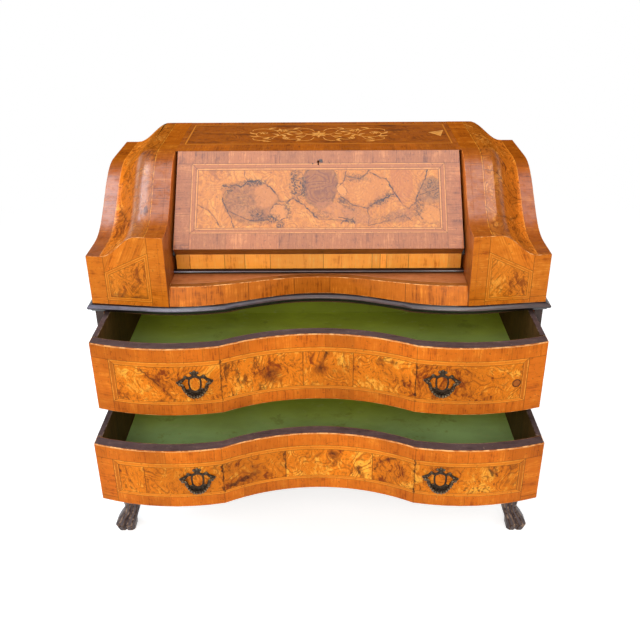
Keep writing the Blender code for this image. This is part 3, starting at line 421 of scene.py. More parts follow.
def fall_veneer():
    """Sloping fall: pink-brown crossband, double stringing and one pictorial sheet of burr."""
    f = Finish("fall_veneer")
    x, y, z = f.parts(f.place)
    run = (math.cos(FALL_SLOPE), math.sin(FALL_SLOPE))
    along = (y - FALL_FOOT.y) * run[0] + (z - FALL_FOOT.z) * run[1]
    side = FALL_HALF - abs(x)
    by_side = (side - 0.0375) / 0.0165
    level = ((FALL_LENGTH - 0.0345 - along) / 0.0180).least((along - 0.0410) / 0.0135)
    ring = by_side.least(level)
    sheet = f.flat(x, along, 2.0)
    honey = (rgb(164, 90, 30), rgb(206, 122, 38), rgb(230, 150, 56))
    colour, height = burr(f, x, along, 11.0, honey, 0.10)
    flat = f.drifted(f.drifted(sheet, 24.0, 0.008), 95.0, 0.009, 4.0)
    mottle = f.noise(flat, 70.0, 5.0, 0.7)
    drift = f.drifted(sheet, 9.0, 0.05)
    growth = ((f.noise(drift, 6.0, 3.0, 0.55) * 170.0).wave() * 0.5 + 0.5) ** 2.0
    wisps = ((f.noise(flat, 26.0, 4.0, 0.6) * 60.0).wave() * 0.5 + 0.5) ** 1.5
    colour = f.mix(colour, rgb(160, 84, 38), growth * 0.32)
    patches = (
        # middle, reach, turn, fill, how much of it, how dark its rim is
        ((-0.165, 0.124), (0.066, 0.056), -6, rgb(146, 84, 46), 0.78, 0.55),
        ((-0.132, 0.140), (0.030, 0.034), 12, rgb(204, 122, 54), 0.75, 0.0),
        ((-0.188, 0.100), (0.026, 0.016), -20, rgb(188, 114, 58), 0.60, 0.0),
        ((-0.096, 0.0954), (0.0225, 0.0225), 0, rgb(206, 126, 58), 0.85, 1.0),
        ((0.004, 0.168), (0.044, 0.062), 0, rgb(126, 66, 38), 0.96, 0.70),
        ((0.120, 0.160), (0.052, 0.040), 20, rgb(196, 114, 42), 0.75, 0.0),
        ((0.205, 0.180), (0.030, 0.060), 4, rgb(182, 98, 44), 0.70, 0.0),
        ((0.278, 0.152), (0.034, 0.036), 10, rgb(138, 90, 54), 0.70, 0.30),
        ((0.270, 0.090), (0.034, 0.026), -10, rgb(206, 126, 50), 0.60, 0.35),
        ((0.040, 0.098), (0.050, 0.024), -20, rgb(184, 108, 56), 0.65, 0.20),
        ((0.095, 0.086), (0.040, 0.018), -24, rgb(168, 98, 54), 0.60, 0.25),
        ((0.200, 0.086), (0.034, 0.018), 12, rgb(164, 96, 54), 0.65, 0.25),
        ((0.0576, 0.1547), (0.0105, 0.0180), 35, rgb(216, 136, 62), 0.90, 0.90),
    )
    for middle, reach, turn, fill, share, rim in patches:
        far = f.spot(flat, middle, reach, turn) + mottle * 0.5 - 0.1
        inside = 1 - f.step(far, 1.00, 1.18)
        colour = f.mix(colour, fill, inside * (growth * 0.30 + 0.70) * share)
        if rim:
            worn = f.step(mottle, 0.40, 0.60) * 0.8 + 0.2
            colour = f.mix(colour, SMOKE_INK, f.line(far, 1.13, 0.02, 0.08) * worn * rim)
    clouds = (
        # middle, reach and turn of the smoke-dark growths, and their strength
        ((-0.051, 0.166), (0.026, 0.054), 6, 0.95),
        ((-0.222, 0.160), (0.020, 0.016), 30, 0.95),
        ((-0.158, 0.176), (0.034, 0.012), 4, 0.95),
        ((-0.148, 0.088), (0.024, 0.022), -35, 0.95),
        ((-0.115, 0.078), (0.028, 0.013), 16, 0.90),
        ((-0.093, 0.062), (0.011, 0.016), 8, 0.95),
        ((-0.074, 0.104), (0.010, 0.034), 8, 0.75),
        ((-0.186, 0.124), (0.050, 0.040), -6, 0.40),
        ((0.286, 0.158), (0.030, 0.034), 10, 0.75),
        ((0.246, 0.110), (0.016, 0.034), -10, 0.75),
        ((0.090, 0.186), (0.040, 0.014), -10, 0.60),
        ((0.080, 0.074), (0.020, 0.012), -20, 0.80),
        ((0.155, 0.126), (0.050, 0.013), 28, 0.90),
        ((0.066, 0.118), (0.040, 0.010), -38, 0.75),
        ((0.180, 0.080), (0.060, 0.016), 8, 0.50),
        ((0.010, 0.090), (0.040, 0.014), -24, 0.50),
    )
    for middle, reach, turn, strength in clouds:
        far = f.spot(flat, middle, reach, turn) + mottle * 1.8 - 0.9
        colour = f.mix(colour, SMOKE_INK, (1 - f.step(far, 0.45, 1.10)) * (wisps * 0.85 + 0.15) * strength)
    veins = (
        (((-0.312, 0.118), (-0.295, 0.115), (-0.269, 0.0997), (-0.253, 0.0814), (-0.239, 0.0587)), 0.0009, 0.90),
        (((-0.230, 0.152), (-0.236, 0.130), (-0.224, 0.107), (-0.214, 0.081), (-0.206, 0.055)), 0.0011, 0.95),
        (((-0.222, 0.165), (-0.205, 0.169), (-0.190, 0.162), (-0.172, 0.177)), 0.0019, 0.90),
        (((-0.185, 0.208), (-0.180, 0.188), (-0.172, 0.177)), 0.0008, 0.75),
        (((-0.172, 0.177), (-0.150, 0.180), (-0.133, 0.173), (-0.115, 0.158), (-0.103, 0.143)), 0.0014, 1.00),
        (((-0.103, 0.143), (-0.097, 0.125), (-0.078, 0.122), (-0.062, 0.134)), 0.0012, 0.95),
        (((-0.215, 0.098), (-0.180, 0.080), (-0.150, 0.073), (-0.115, 0.078)), 0.0011, 0.80),
        (((-0.062, 0.134), (-0.0355, 0.1152), (-0.0144, 0.0927), (-0.0013, 0.0783)), 0.0015, 1.00),
        (((-0.0013, 0.0783), (0.030, 0.0742), (0.056, 0.0733), (0.088, 0.070)), 0.0009, 0.75),
        (((0.0694, 0.205), (0.066, 0.180), (0.048, 0.163)), 0.0010, 0.85),
        (((0.0694, 0.194), (0.1036, 0.183), (0.1167, 0.194), (0.1298, 0.209)), 0.0016, 0.70),
        (((0.1298, 0.200), (0.1535, 0.186), (0.168, 0.184), (0.1874, 0.149), (0.206, 0.115), (0.2216, 0.104)),
         0.0012, 1.00),
        (((0.1848, 0.1434), (0.1506, 0.1238), (0.1193, 0.1066)), 0.0018, 1.00),
        (((0.1193, 0.1066), (0.0982, 0.1096), (0.072, 0.1238), (0.0563, 0.1379)), 0.0013, 1.00),
        (((0.2715, 0.213), (0.2661, 0.186), (0.2478, 0.152), (0.2398, 0.124), (0.2216, 0.104)), 0.0012, 0.95),
        (((0.2504, 0.1406), (0.2766, 0.152), (0.3003, 0.1575)), 0.0010, 0.85),
        (((0.1219, 0.0614), (0.1612, 0.070), (0.1874, 0.0783), (0.2111, 0.0869), (0.2321, 0.0728)), 0.0010, 0.75),
        (((0.2398, 0.118), (0.2424, 0.0927), (0.2555, 0.0783)), 0.0011, 0.80),
        (((0.1193, 0.1066), (0.124, 0.085), (0.1219, 0.0614)), 0.0009, 0.85),
        (((0.0512, 0.081), (0.072, 0.0783), (0.0879, 0.0728), (0.0905, 0.0642)), 0.0009, 1.00),
        (((0.0563, 0.0642), (0.0680, 0.0760), (0.0780, 0.0660)), 0.0008, 0.95),
    )
    colour = marked(f, colour, flat, veins, (), SMOKE_INK, 0.15)
    rose = (rgb(124, 64, 32), rgb(172, 98, 50), rgb(204, 126, 68))
    head, head_height = crossband(f, x, along, 21.0, 0.105, rose, 0.20)
    ends, end_height = crossband(f, along, x, 26.0, 0.085, rose, 0.16)
    on_end = (side < 0.0375) * (along < FALL_LENGTH - 0.0345)
    bands = f.mix(head, ends, on_end)
    seams = f.line(along, FALL_LENGTH - 0.0345, 0.0004, 0.0006) * (side < 0.0375)
    seams = seams.most(f.line(side, 0.0375, 0.0004, 0.0006) * (along < 0.041))
    bands = f.mix(bands, JOINT_INK, seams * 0.6)
    wear = f.step(f.noise(sheet, 60.0, 4.0, 0.7), 0.36, 0.60) * 0.5 + 0.4
    line_tone = rgb(226, 148, 70)
    string = f.mix(rgb(176, 100, 50), line_tone, f.line(ring, 0.10, 0.05, 0.05) * wear)
    string = f.mix(string, line_tone, f.line(ring, 0.84, 0.07, 0.05) * wear)
    string = f.mix(string, JOINT_INK, f.line(ring, 0.68, 0.03, 0.05) * 0.5)
    string = f.mix(string, JOINT_INK, f.line(by_side - level, 0.0, 0.05, 0.05) * 0.5)
    colour = f.mix(string, colour, ring > 1.0)
    colour = f.mix(bands, colour, ring > 0.0)
    edges = f.line(ring, 0.0, 0.03, 0.04).most(f.line(ring, 1.0, 0.03, 0.04))
    colour = f.mix(colour, JOINT_INK, edges * 0.55)
    for spot_x, spot_along, reach in ((-0.014, 0.226, 0.0020), (0.028, 0.227, 0.0016), (0.046, 0.203, 0.0012)):
        hole = f.spot(f.flat(x, along), (spot_x, spot_along), (reach, reach))
        colour = f.mix(colour, VEIN_INK, 1 - f.step(hole, 0.7, 1.2))
    worn_hole = f.spot(flat, (0.007, 0.2325), (0.0062, 0.0062))
    colour = f.mix(colour, VEIN_INK, 1 - f.step(worn_hole, 0.75, 1.25))
    speck = f.step(f.noise(sheet, 150.0, 3.0, 0.65), 0.60, 0.68)
    colour = f.mix(colour, rgb(84, 44, 34), speck * 0.5)
    bloom = f.step(f.noise(f.stretched(sheet, (1.0, 0.4, 1.0)), 210.0, 3.0, 0.65), 0.50, 0.70)
    colour = f.mix(colour, rgb(216, 142, 84), bloom * 0.22)
    return f.polish(colour, height + head_height * 0.4, rough=0.40, shine=1.0, haze=0.16, level=0.2)


def wing_veneer():
    """Wing's curved top: cross-grained inner and outer strips, string lines and a burr centre."""
    f = Finish("wing_veneer")
    x, y, z = f.parts(f.place)
    reach = abs(x)
    path = y * 0.85 + z * 0.85
    right = (x > 0.0) * 5.3
    tones = (rgb(124, 56, 12), rgb(194, 104, 26), rgb(230, 142, 54))
    colour, height = burr(f, x, path, right + 31.0, tones, 0.8)
    colour = f.shaded(colour, f.step(reach, 0.440, 0.470) * 0.48 + 0.80)
    # dark streaks down the valley: partly stain, partly painted shade in the hollow
    valley = f.step(reach, 0.458, 0.492) * (1 - f.step(reach, 0.505, 0.520))
    streaky = f.noise(f.flat(x, path * 0.25, 4.0), 34.0, 4.0, 0.6)
    colour = f.mix(colour, rgb(84, 44, 16), valley * f.step(streaky, 0.42, 0.62) * 0.28)
    strip_tones = (rgb(116, 52, 10), rgb(168, 84, 16), rgb(202, 116, 34))
    inner, inner_height = crossband(f, path, x, 33.0, 0.115, strip_tones)
    outer, outer_height = crossband(f, path, x, 38.0, 0.075, strip_tones, 0.3)
    colour = f.mix(colour, outer, f.step(reach, 0.5166, 0.5170))
    colour = f.mix(inner, colour, f.step(reach, 0.4016, 0.4020))
    wear = f.step(f.noise(f.flat(x, path, 6.0), 60.0, 4.0, 0.7), 0.40, 0.62) * 0.6
    colour = f.mix(colour, STRING_PALE, f.line(reach, 0.4030, 0.0008, 0.0006) * wear)
    colour = f.mix(colour, STRING_PALE, f.line(reach, 0.5160, 0.0008, 0.0006) * wear)
    colour = f.mix(colour, JOINT_INK, f.line(reach, 0.4048, 0.0003, 0.0006) * 0.6)
    flat = f.drifted(f.flat(x, path), 30.0, 0.016)
    cracks = (
        (((0.404, 0.900), (0.440, 0.893), (0.480, 0.866), (0.515, 0.860)), 0.0009, 0.8),
        (((-0.500, 0.820), (-0.470, 0.760), (-0.445, 0.740)), 0.0022, 0.5),
        (((0.430, 0.745), (0.470, 0.760), (0.500, 0.800)), 0.0022, 0.5),
    )
    colour = marked(f, colour, flat, cracks)
    speck = f.step(f.noise(f.flat(x, path, 9.0), 130.0, 3.0, 0.65), 0.60, 0.68)
    colour = f.mix(colour, JOINT_INK, speck * 0.5)
    worn = f.step(reach, 0.442, 0.460) * (1 - f.step(reach, 0.510, 0.520))
    level_top = f.step(y, CASE_FRONT_Y + 0.19, CASE_FRONT_Y + 0.25) * (reach < 0.515)
    patchy = f.step(f.noise(f.flat(x, path, 2.0), 42.0, 5.0, 0.7), 0.30, 0.58) * 0.5 + 0.5
    left = x < 0.0
    shoulder = f.step(reach, 0.408, 0.422) * left * 0.60
    outside = (reach > 0.515) * left * 0.22
    crest = f.step(y, CASE_FRONT_Y + 0.26, CASE_FRONT_Y + 0.34)
    rest = 1 - (worn * 0.9).most(level_top).most(crest)
    shine = (shoulder.most(outside) + 0.40) * rest * patchy
    return f.polish(colour, height + inner_height * 0.4, rough=0.5, shine=shine, haze=0.30, level=0.0, gloss=2.4)


def block_veneer():
    """Front of the wing's block: a shaped burr panel in stringing, crossbanded round."""
    f = Finish("block_veneer")
    x, y, z = f.parts(f.place)
    reach = abs(x)
    up = z - BLOCK_Z
    right = (x > 0.0) * 4.1
    slant = 0.1375 - (reach - 0.4000) * 0.495
    by_head = (slant - up) * 0.896
    inset = by_head.least(up - 0.0110).least((reach - 0.3985).least(0.5085 - reach))
    tones = (rgb(150, 74, 16), rgb(222, 126, 30), rgb(244, 160, 56))
    colour, height = burr(f, x, up, right + 41.0, tones, 0.6)
    fan = f.noise(f.flat(x * 0.9 - up * 0.7, (x * 0.7 + up * 0.9) * 0.1, right), 170.0, 3.0)
    colour = f.mix(colour, rgb(128, 62, 12), f.step(fan, 0.52, 0.70) * 0.55)
    stain = (1 - f.step(up, 0.018, 0.044)) * f.step(f.noise(f.flat(x, up, 3.0), 45.0, 3.0), 0.35, 0.6)
    colour = f.mix(colour, rgb(84, 46, 24), stain * (x < 0.0) * 0.8)
    wear = f.step(f.noise(f.flat(x, up, 5.0), 60.0, 4.0, 0.7), 0.36, 0.60) * 0.5 + 0.12
    string = f.mix(rgb(206, 114, 26), STRING_PALE, f.line(inset, 0.0016, 0.0011, 0.0004) * wear)
    string = f.mix(string, STRING_PALE, f.line(inset, 0.0078, 0.0011, 0.0004) * wear)
    string = f.mix(string, JOINT_INK, f.line(inset, 0.0094, 0.0003, 0.0005) * 0.7)
    band_tones = (rgb(168, 80, 12), rgb(212, 116, 26), rgb(234, 144, 46))
    level, level_height = crossband(f, up, x, right + 44.0, 0.21, band_tones)
    upright, upright_height = crossband(f, reach + up * 0.45, up, right + 47.0, 0.034, band_tones)
    sides = (reach < 0.3985).most(reach > 0.5085)
    bands = f.mix(upright, level, sides)
    seams = f.line(reach, 0.3985, 0.0004, 0.0006).most(f.line(reach, 0.5085, 0.0004, 0.0006))
    bands = f.mix(bands, JOINT_INK, seams * 0.6)
    colour = f.mix(string, colour, inset > 0.0098)
    colour = f.mix(bands, colour, inset > 0.0)
    colour = f.mix(colour, JOINT_INK, f.line(inset, 0.0, 0.0003, 0.0006) * 0.6)
    speck = f.step(f.noise(f.flat(x, up, 9.0), 130.0, 3.0, 0.65), 0.60, 0.68)
    colour = f.mix(colour, JOINT_INK, speck * 0.4)
    return f.polish(colour, height + level_height * 0.4, rough=0.46, shine=0.10, level=0.06)


def top_veneer():
    """Top board: streaked walnut ground for the marquetry, stringing and a crossbanded border."""
    f = Finish("top_veneer")
    x, y, z = f.parts(f.place)
    low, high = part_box("top_board")
    front = y - low.y
    rear = high.y - y
    side = CHEEK_INNER_X - abs(x)
    ring = ((side - 0.0125) / 0.0060).least((front - 0.0600) / 0.0070).least((rear - 0.0270) / 0.0070)
    tones = (rgb(106, 48, 8), rgb(160, 80, 14), rgb(192, 106, 26))
    colour, height = grained(f, y, x, 51.0, tones)
    figure, figure_height = burr(f, x, y, 53.0, tones, 0.7)
    colour = f.mix(colour, figure, f.step(f.noise(f.flat(x, y, 5.0), 6.0, 2.0), 0.40, 0.60) * 0.8)
    dark = f.step(f.noise(f.flat(x * 0.3, y, 7.0), 24.0, 4.0, 0.65), 0.52, 0.66)
    colour = f.mix(colour, rgb(84, 38, 10), dark * 0.6)
    band_tones = (rgb(120, 54, 8), rgb(168, 84, 14), rgb(196, 108, 26))
    head, head_height = crossband(f, x, y, 55.0, 0.060, band_tones, 0.3)
    ends, end_height = crossband(f, y, x, 58.0, 0.120, band_tones)
    bands = f.mix(head, ends, side < 0.0125)
    string = f.mix(rgb(184, 98, 20), STRING_PALE, f.line(ring, 0.5, 0.2, 0.1) * 0.25)
    colour = f.mix(string, colour, ring > 1.0)
    colour = f.mix(bands, colour, ring > 0.0)
    edges = f.line(ring, 0.0, 0.05, 0.06).most(f.line(ring, 1.0, 0.05, 0.06))
    colour = f.mix(colour, JOINT_INK, edges * 0.6)
    speck = f.step(f.noise(f.flat(x, y, 9.0), 130.0, 3.0, 0.65), 0.60, 0.68)
    colour = f.mix(colour, JOINT_INK, speck * 0.4)
    return f.polish(colour, height + head_height * 0.4, rough=0.55, shine=0.05, level=0.02)


def rail_veneer(name, joints, seed, tones=(BAND_DEEP, BAND_GROUND, BAND_PALE), ends=(0.3, 0.3, 0.0), shine=0.25):
    """Upright-grained pieces of alternating tone along a rail. ends says where the rail grows lighter or darker towards
    its ends, and by how much.
    """
    f = Finish(name)
    x, y, z = f.parts(f.place)
    number = sum((x > joint) * 1.0 for joint in joints)
    colour, height = grained(f, x, z, number * 2.3 + seed, tones)
    colour = f.shaded(colour, f.chance(number + seed) * 0.34 + 0.86)
    for joint in joints:
        colour = f.mix(colour, JOINT_INK, f.line(x, joint, 0.0004, 0.0007) * 0.7)
    # the colour grows lighter or darker towards the ends; on the apron this is painted light
    begin, full, change = ends
    colour = f.shaded(colour, f.step(abs(x), begin, full + 0.001) * change + 1.0)
    return f.polish(colour, height, rough=0.40, shine=shine, level=0.12)


def corner_shade_and_dirt(f, axes):
    """Share of colour left in the corner between cheek and fall, darkest low down: painted shade, with dust and old
    wax.
    """
    ledge_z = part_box("ledge")[1].z
    before_fall = 1 - f.step(axes["y"], CASE_FRONT_Y + 0.07, CASE_FRONT_Y + 0.15)
    return 1 - before_fall * (0.56 - f.step(axes["z"], ledge_z, ledge_z + 0.12) * 0.26)


def plain_wood(name, cross, run, tones, seed, rough=0.5, shine=0.1, wear=None, level=0.2, darkening=None):
    """Solid or plainly veneered wood. cross and run name the axes across and along its grain."""
    f = Finish(name)
    axes = dict(zip("xyz", f.parts(f.place)))
    colour, height = grained(f, axes[cross], axes[run], seed, tones)
    cloud = f.noise(f.place, 9.0, 4.0, 0.6)
    colour = f.shaded(colour, cloud * 0.5 + 0.75)
    if wear:
        rubbed = f.step(f.noise(f.place, 130.0, 4.0, 0.7), 0.60, 0.74)
        colour = f.mix(colour, wear, rubbed * 0.55)
    # when given, the colour is scaled by a share from the finish; on the cheek this is painted shade with dust and old
    # wax
    if darkening:
        colour = f.shaded(colour, darkening(f, axes))
    return f.polish(colour, height, rough=rough, shine=shine, level=level, relief=0.45)


def side_veneer():
    """Case side: crossbanded border, stringing and a quartered burr panel."""
    f = Finish("side_veneer")
    x, y, z = f.parts(f.place)
    low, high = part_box("case_side_left")
    inset = (y - low.y).least(high.y - y).least((z - low.z).least(high.z - z))
    ring = (inset - 0.0450) / 0.0120
    across = abs(y - (low.y + high.y) / 2)
    up = abs(z - (low.z + high.z) / 2)
    colour, height = burr(f, across, up, 61.0, (rgb(140, 66, 12), rgb(200, 108, 24), rgb(226, 140, 46)))
    quarter = f.line(across, 0.0, 0.0004, 0.0007).most(f.line(up, 0.0, 0.0004, 0.0007))
    colour = f.mix(colour, JOINT_INK, quarter * 0.7)
    level = (z - low.z).least(high.z - z) - (y - low.y).least(high.y - y)
    heads, head_height = crossband(f, y, z, 64.0)
    ends, end_height = crossband(f, z, y, 67.0)
    bands = f.mix(ends, heads, level < 0.0)
    bands = f.mix(bands, JOINT_INK, f.line(level, 0.0, 0.0004, 0.0007) * 0.6)
    colour = f.mix(stringing(f, ring, 0.0 - level * 40.0, 0.7), colour, ring > 1.0)
    colour = f.mix(bands, colour, ring > 0.0)
    return f.polish(colour, height + head_height * 0.4, rough=0.42, shine=0.22, level=0.15)


def worn_arris():
    """Rubbed edge of a veneer, paler where the polish has gone."""
    f = Finish("worn_arris")
    rubbed = f.step(f.noise(f.place, 55.0, 4.0, 0.65), 0.42, 0.64)
    colour = f.mix(rgb(176, 92, 26), rgb(244, 178, 110), rubbed)
    return f.polish(colour, rubbed, rough=0.5, shine=0.05, level=0.15)


def dark_arris():
    """Rubbed edge of stained wood."""
    f = Finish("dark_arris")
    rubbed = f.step(f.noise(f.place, 70.0, 4.0, 0.65), 0.44, 0.66)
    colour = f.mix(rgb(58, 40, 32), rgb(150, 124, 104), rubbed)
    return f.polish(colour, rubbed, rough=0.6, shine=0.0, level=0.2)


def lining_paper(drawer):
    """Green paper pasted in a drawer, with painted light: pale and bluish towards the front, yellower further back, and
    painted darker on upright faces.
    """
    f = Finish(f"{drawer}_paper")
    low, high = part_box(f"{drawer}_bottom")
    x, y, z = f.parts(f.place)
    # painted light: the paper is pale and bluish towards the front, where light falls into the drawer, and yellower
    # further back
    deep = f.step(y + f.noise(f.place, 7.0, 3.0) * 0.10, low.y + 0.24, low.y + 0.46)
    weave = f.noise(f.place, 900.0, 2.0)
    colour = f.mix(rgb(182, 218, 136), rgb(186, 200, 62), deep)
    fade = f.noise(f.stretched(f.place, (1.0, 1.6, 1.0)), 5.0, 4.0, 0.6)
    colour = f.shaded(colour, f.step(fade, 0.35, 0.65) * 0.22 + 0.92)
    stain = f.step(f.noise(f.place, 16.0, 4.0, 0.7), 0.56, 0.70)
    colour = f.mix(colour, rgb(146, 156, 50), stain * 0.5)
    scuff = f.step(f.noise(f.stretched(f.place, (0.5, 1.0, 1.0)), 60.0, 4.0, 0.7), 0.58, 0.70)
    colour = f.mix(colour, rgb(208, 218, 136), scuff * 0.35)
    # upright faces, such as the drawer's back, are painted darker: painted shade
    upright = f.parts(f.node("ShaderNodeNewGeometry", output="Normal"))[2] < 0.5
    colour = f.shaded(colour, weave * 0.16 + 0.92 - upright * 0.40)
    return f.polish(colour, weave, rough=0.75, shine=0.0, level=0.2, relief=0.2)


def ebonised():
    """Black-stained moulding, grey along its round and black in its quirks: the grey is painted highlight broken by
    rubbing, bluish at the left end as painted reflection.
    """
    f = Finish("ebonised")
    x, y, z = f.parts(f.place)
    cloud = f.noise(f.stretched(f.place, (0.35, 1.0, 1.0)), 60.0, 4.0, 0.65)
    facing_up = f.parts(f.node("ShaderNodeNewGeometry", output="Normal"))[2]
    # the faces that tilt up along the round get the grey: painted highlight, broken into patches as rubbing
    rounded = f.step(facing_up, 0.02, 0.28) * (1 - f.step(facing_up, 0.70, 0.92))
    # bluish grey at the left end, brown further right: painted reflection of light from the left
    rubbed = f.mix(rgb(106, 98, 118), rgb(84, 54, 48), f.step(x, -0.36, -0.10))
    colour = f.mix(rgb(24, 15, 16), rubbed, (f.step(cloud, 0.36, 0.68) * 0.6 + 0.35) * rounded)
    rough = f.step(cloud, 0.3, 0.8) * 0.16 + 0.28
    shine = (f.step(abs(x), 0.20, 0.34) * 0.60 + 0.30) * (rounded * 0.75 + 0.25)
    return f.polish(colour, cloud, rough=rough, shine=shine, haze=0.18, level=0.2, gloss=1.9)


def bronze():
    """Dark cast brass: brown in the hollows, bright on the high places, which is rubbed wear and painted highlight."""
    f = Finish("bronze")
    edge = f.node("ShaderNodeNewGeometry", output="Pointiness")
    cloud = f.noise(f.place, 230.0, 4.0, 0.6)
    # high places are painted lighter: partly rubbed wear, partly painted highlight
    high = f.step(edge + cloud * 0.08, 0.546, 0.606)
    colour = f.mix(rgb(50, 36, 22), rgb(176, 152, 116), high)
    colour = f.mix(colour, rgb(56, 44, 28), f.step(cloud, 0.50, 0.66) * 0.6)
    dents = f.noise(f.place, 380.0, 3.0)
    normal = f.node("ShaderNodeBump", {}, {"Height": dents, "Strength": 0.6, "Distance": 0.0012})
    sockets = {
        "Base Color": colour, "Metallic": high * 0.25 + 0.70, "Roughness": 0.40 - high * 0.18, "Normal": normal,
    }
    return f.close(f.node("ShaderNodeBsdfPrincipled", {}, sockets))


def iron():
    """Old iron with brown oxide."""
    f = Finish("iron")
    rust = f.step(f.noise(f.place, 120.0, 5.0, 0.7), 0.42, 0.66)
    colour = f.mix(rgb(52, 50, 50), rgb(86, 52, 32), rust)
    normal = f.node("ShaderNodeBump", {}, {"Height": rust, "Strength": 0.4, "Distance": 0.0006})
    sockets = {
        "Base Color": colour, "Metallic": 0.85 - rust * 0.6, "Roughness": rust * 0.3 + 0.42, "Normal": normal,
    }
    return f.close(f.node("ShaderNodeBsdfPrincipled", {}, sockets))


ARRIS_ANGLE = math.radians(30)
CREASE_ANGLE = math.radians(11)
WING_CREASE_ANGLE = math.radians(26)


def set_out(mesh_object, body, slot, *nodes):
    """Puts a finished piece on its body, in the place of CAD nodes."""
    bpy.context.scene.collection.objects.link(mesh_object)
    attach(mesh_object, body)
    if nodes:
        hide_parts(*nodes)
    return mesh_object


def polished(node, materials, choose, round_off=0.0012, arris=None, skip=None, crease=CREASE_ANGLE):
    """A CAD piece with rounded arrises and smooth curves. choose gives a face's place in materials."""
    source = NODES[node]
    bm = bmesh.new()
    bm.from_mesh(source.data)
    bmesh.ops.remove_doubles(bm, verts=bm.verts, dist=0.00001)
    bmesh.ops.dissolve_limit(bm, angle_limit=math.radians(0.4), verts=bm.verts, edges=bm.edges)
    for face in bm.faces:
        face.smooth = True
        face.material_index = choose(face.normal, face.calc_center_median())
    arrises = []
    for edge in bm.edges:
        if len(edge.link_faces) != 2:
            continue
        angle = edge.calc_face_angle()
        middle = (edge.verts[0].co + edge.verts[1].co) / 2
        if angle > ARRIS_ANGLE and edge.is_convex and not (skip and skip(middle)):
            arrises.append(edge)
        elif angle > crease:
            edge.smooth = False
    rim = len(materials)
    settings = {"offset_type": "OFFSET", "segments": 2, "profile": 0.5, "affect": "EDGES", "clamp_overlap": True}
    if round_off:
        bmesh.ops.bevel(bm, geom=arrises, offset=round_off, material=rim, **settings)
    mesh = bpy.data.meshes.new(node + "_polished")
    bm.to_mesh(mesh)
    bm.free()
    for material in materials:
        mesh.materials.append(material)
    mesh.materials.append(arris or materials[0])
    piece = bpy.data.objects.new(node + "_polished", mesh)
    normals = piece.modifiers.new("flat_faces", "WEIGHTED_NORMAL")
    normals.keep_sharp = True
    return set_out(piece, source["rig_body"], source.data.materials[0].name, node)


def refinished(node, material):
    """A CAD piece that keeps its shape and gets a finish."""
    slots = NODES[node].data.materials
    for place in range(len(slots)):
        slots[place] = material


def whole(normal, middle):
    return 0


def facing_front(normal, middle):
    return 0 if normal.y < -0.4 else 1


def add_case(pale, dark):
    """Case sides, feet, rails, backs and mouldings."""
    sides = side_veneer()
    stile = plain_wood("stile", "x", "z", (rgb(38, 28, 26), rgb(66, 52, 48), rgb(92, 76, 72)), 71.0)
    carcase_tones = (rgb(58, 36, 20), rgb(90, 60, 36), rgb(118, 84, 54))
    carcase = plain_wood("carcase", "z", "y", carcase_tones, 73.0, 0.65, 0.0, rgb(150, 116, 82))
    back_tones = (rgb(92, 60, 34), rgb(132, 92, 56), rgb(160, 116, 74))
    backs = plain_wood("back_boards", "x", "z", back_tones, 75.0, 0.7, 0.0)
    hoof_tones = (rgb(46, 38, 38), rgb(80, 68, 68), rgb(112, 98, 98))
    hoof = plain_wood("hoof", "x", "z", hoof_tones, 77.0, 0.5, 0.15, rgb(108, 90, 84))
    for side in ("left", "right"):
        polished(f"case_side_{side}", [sides, stile], lambda n, m: 0 if abs(n.x) > 0.7 else 1, 0.0015, dark)
        refinished(f"drawer_runner_{side}", carcase)
        for end in ("front", "back"):
            polished(f"foot_{end}_{side}", [hoof], whole, 0.0025, dark)
    rail = rail_veneer("rail_veneer", (-0.31, -0.17, -0.06, 0.05, 0.19, 0.34), 81.0)
    polished("divider_rail", [rail, carcase], facing_front, 0.001, pale)
    polished("base_rail", [rail, carcase], facing_front, 0.001, pale)
    for node in ("waist_rail", "case_bottom", "waist_board", "fall_stop"):
        refinished(node, carcase)
    for node in ("lower_back", "upper_back"):
        refinished(node, backs)
    black = ebonised()
    for node in ("waist_moulding_front", "waist_moulding_left", "waist_moulding_right", "rail_bead"):
        polished(node, [black], whole, 0.0008, black)


def back_face(normal, middle):
    if normal.z > 0.7:
        return 1
    return 2 if normal.y < -0.7 else 0


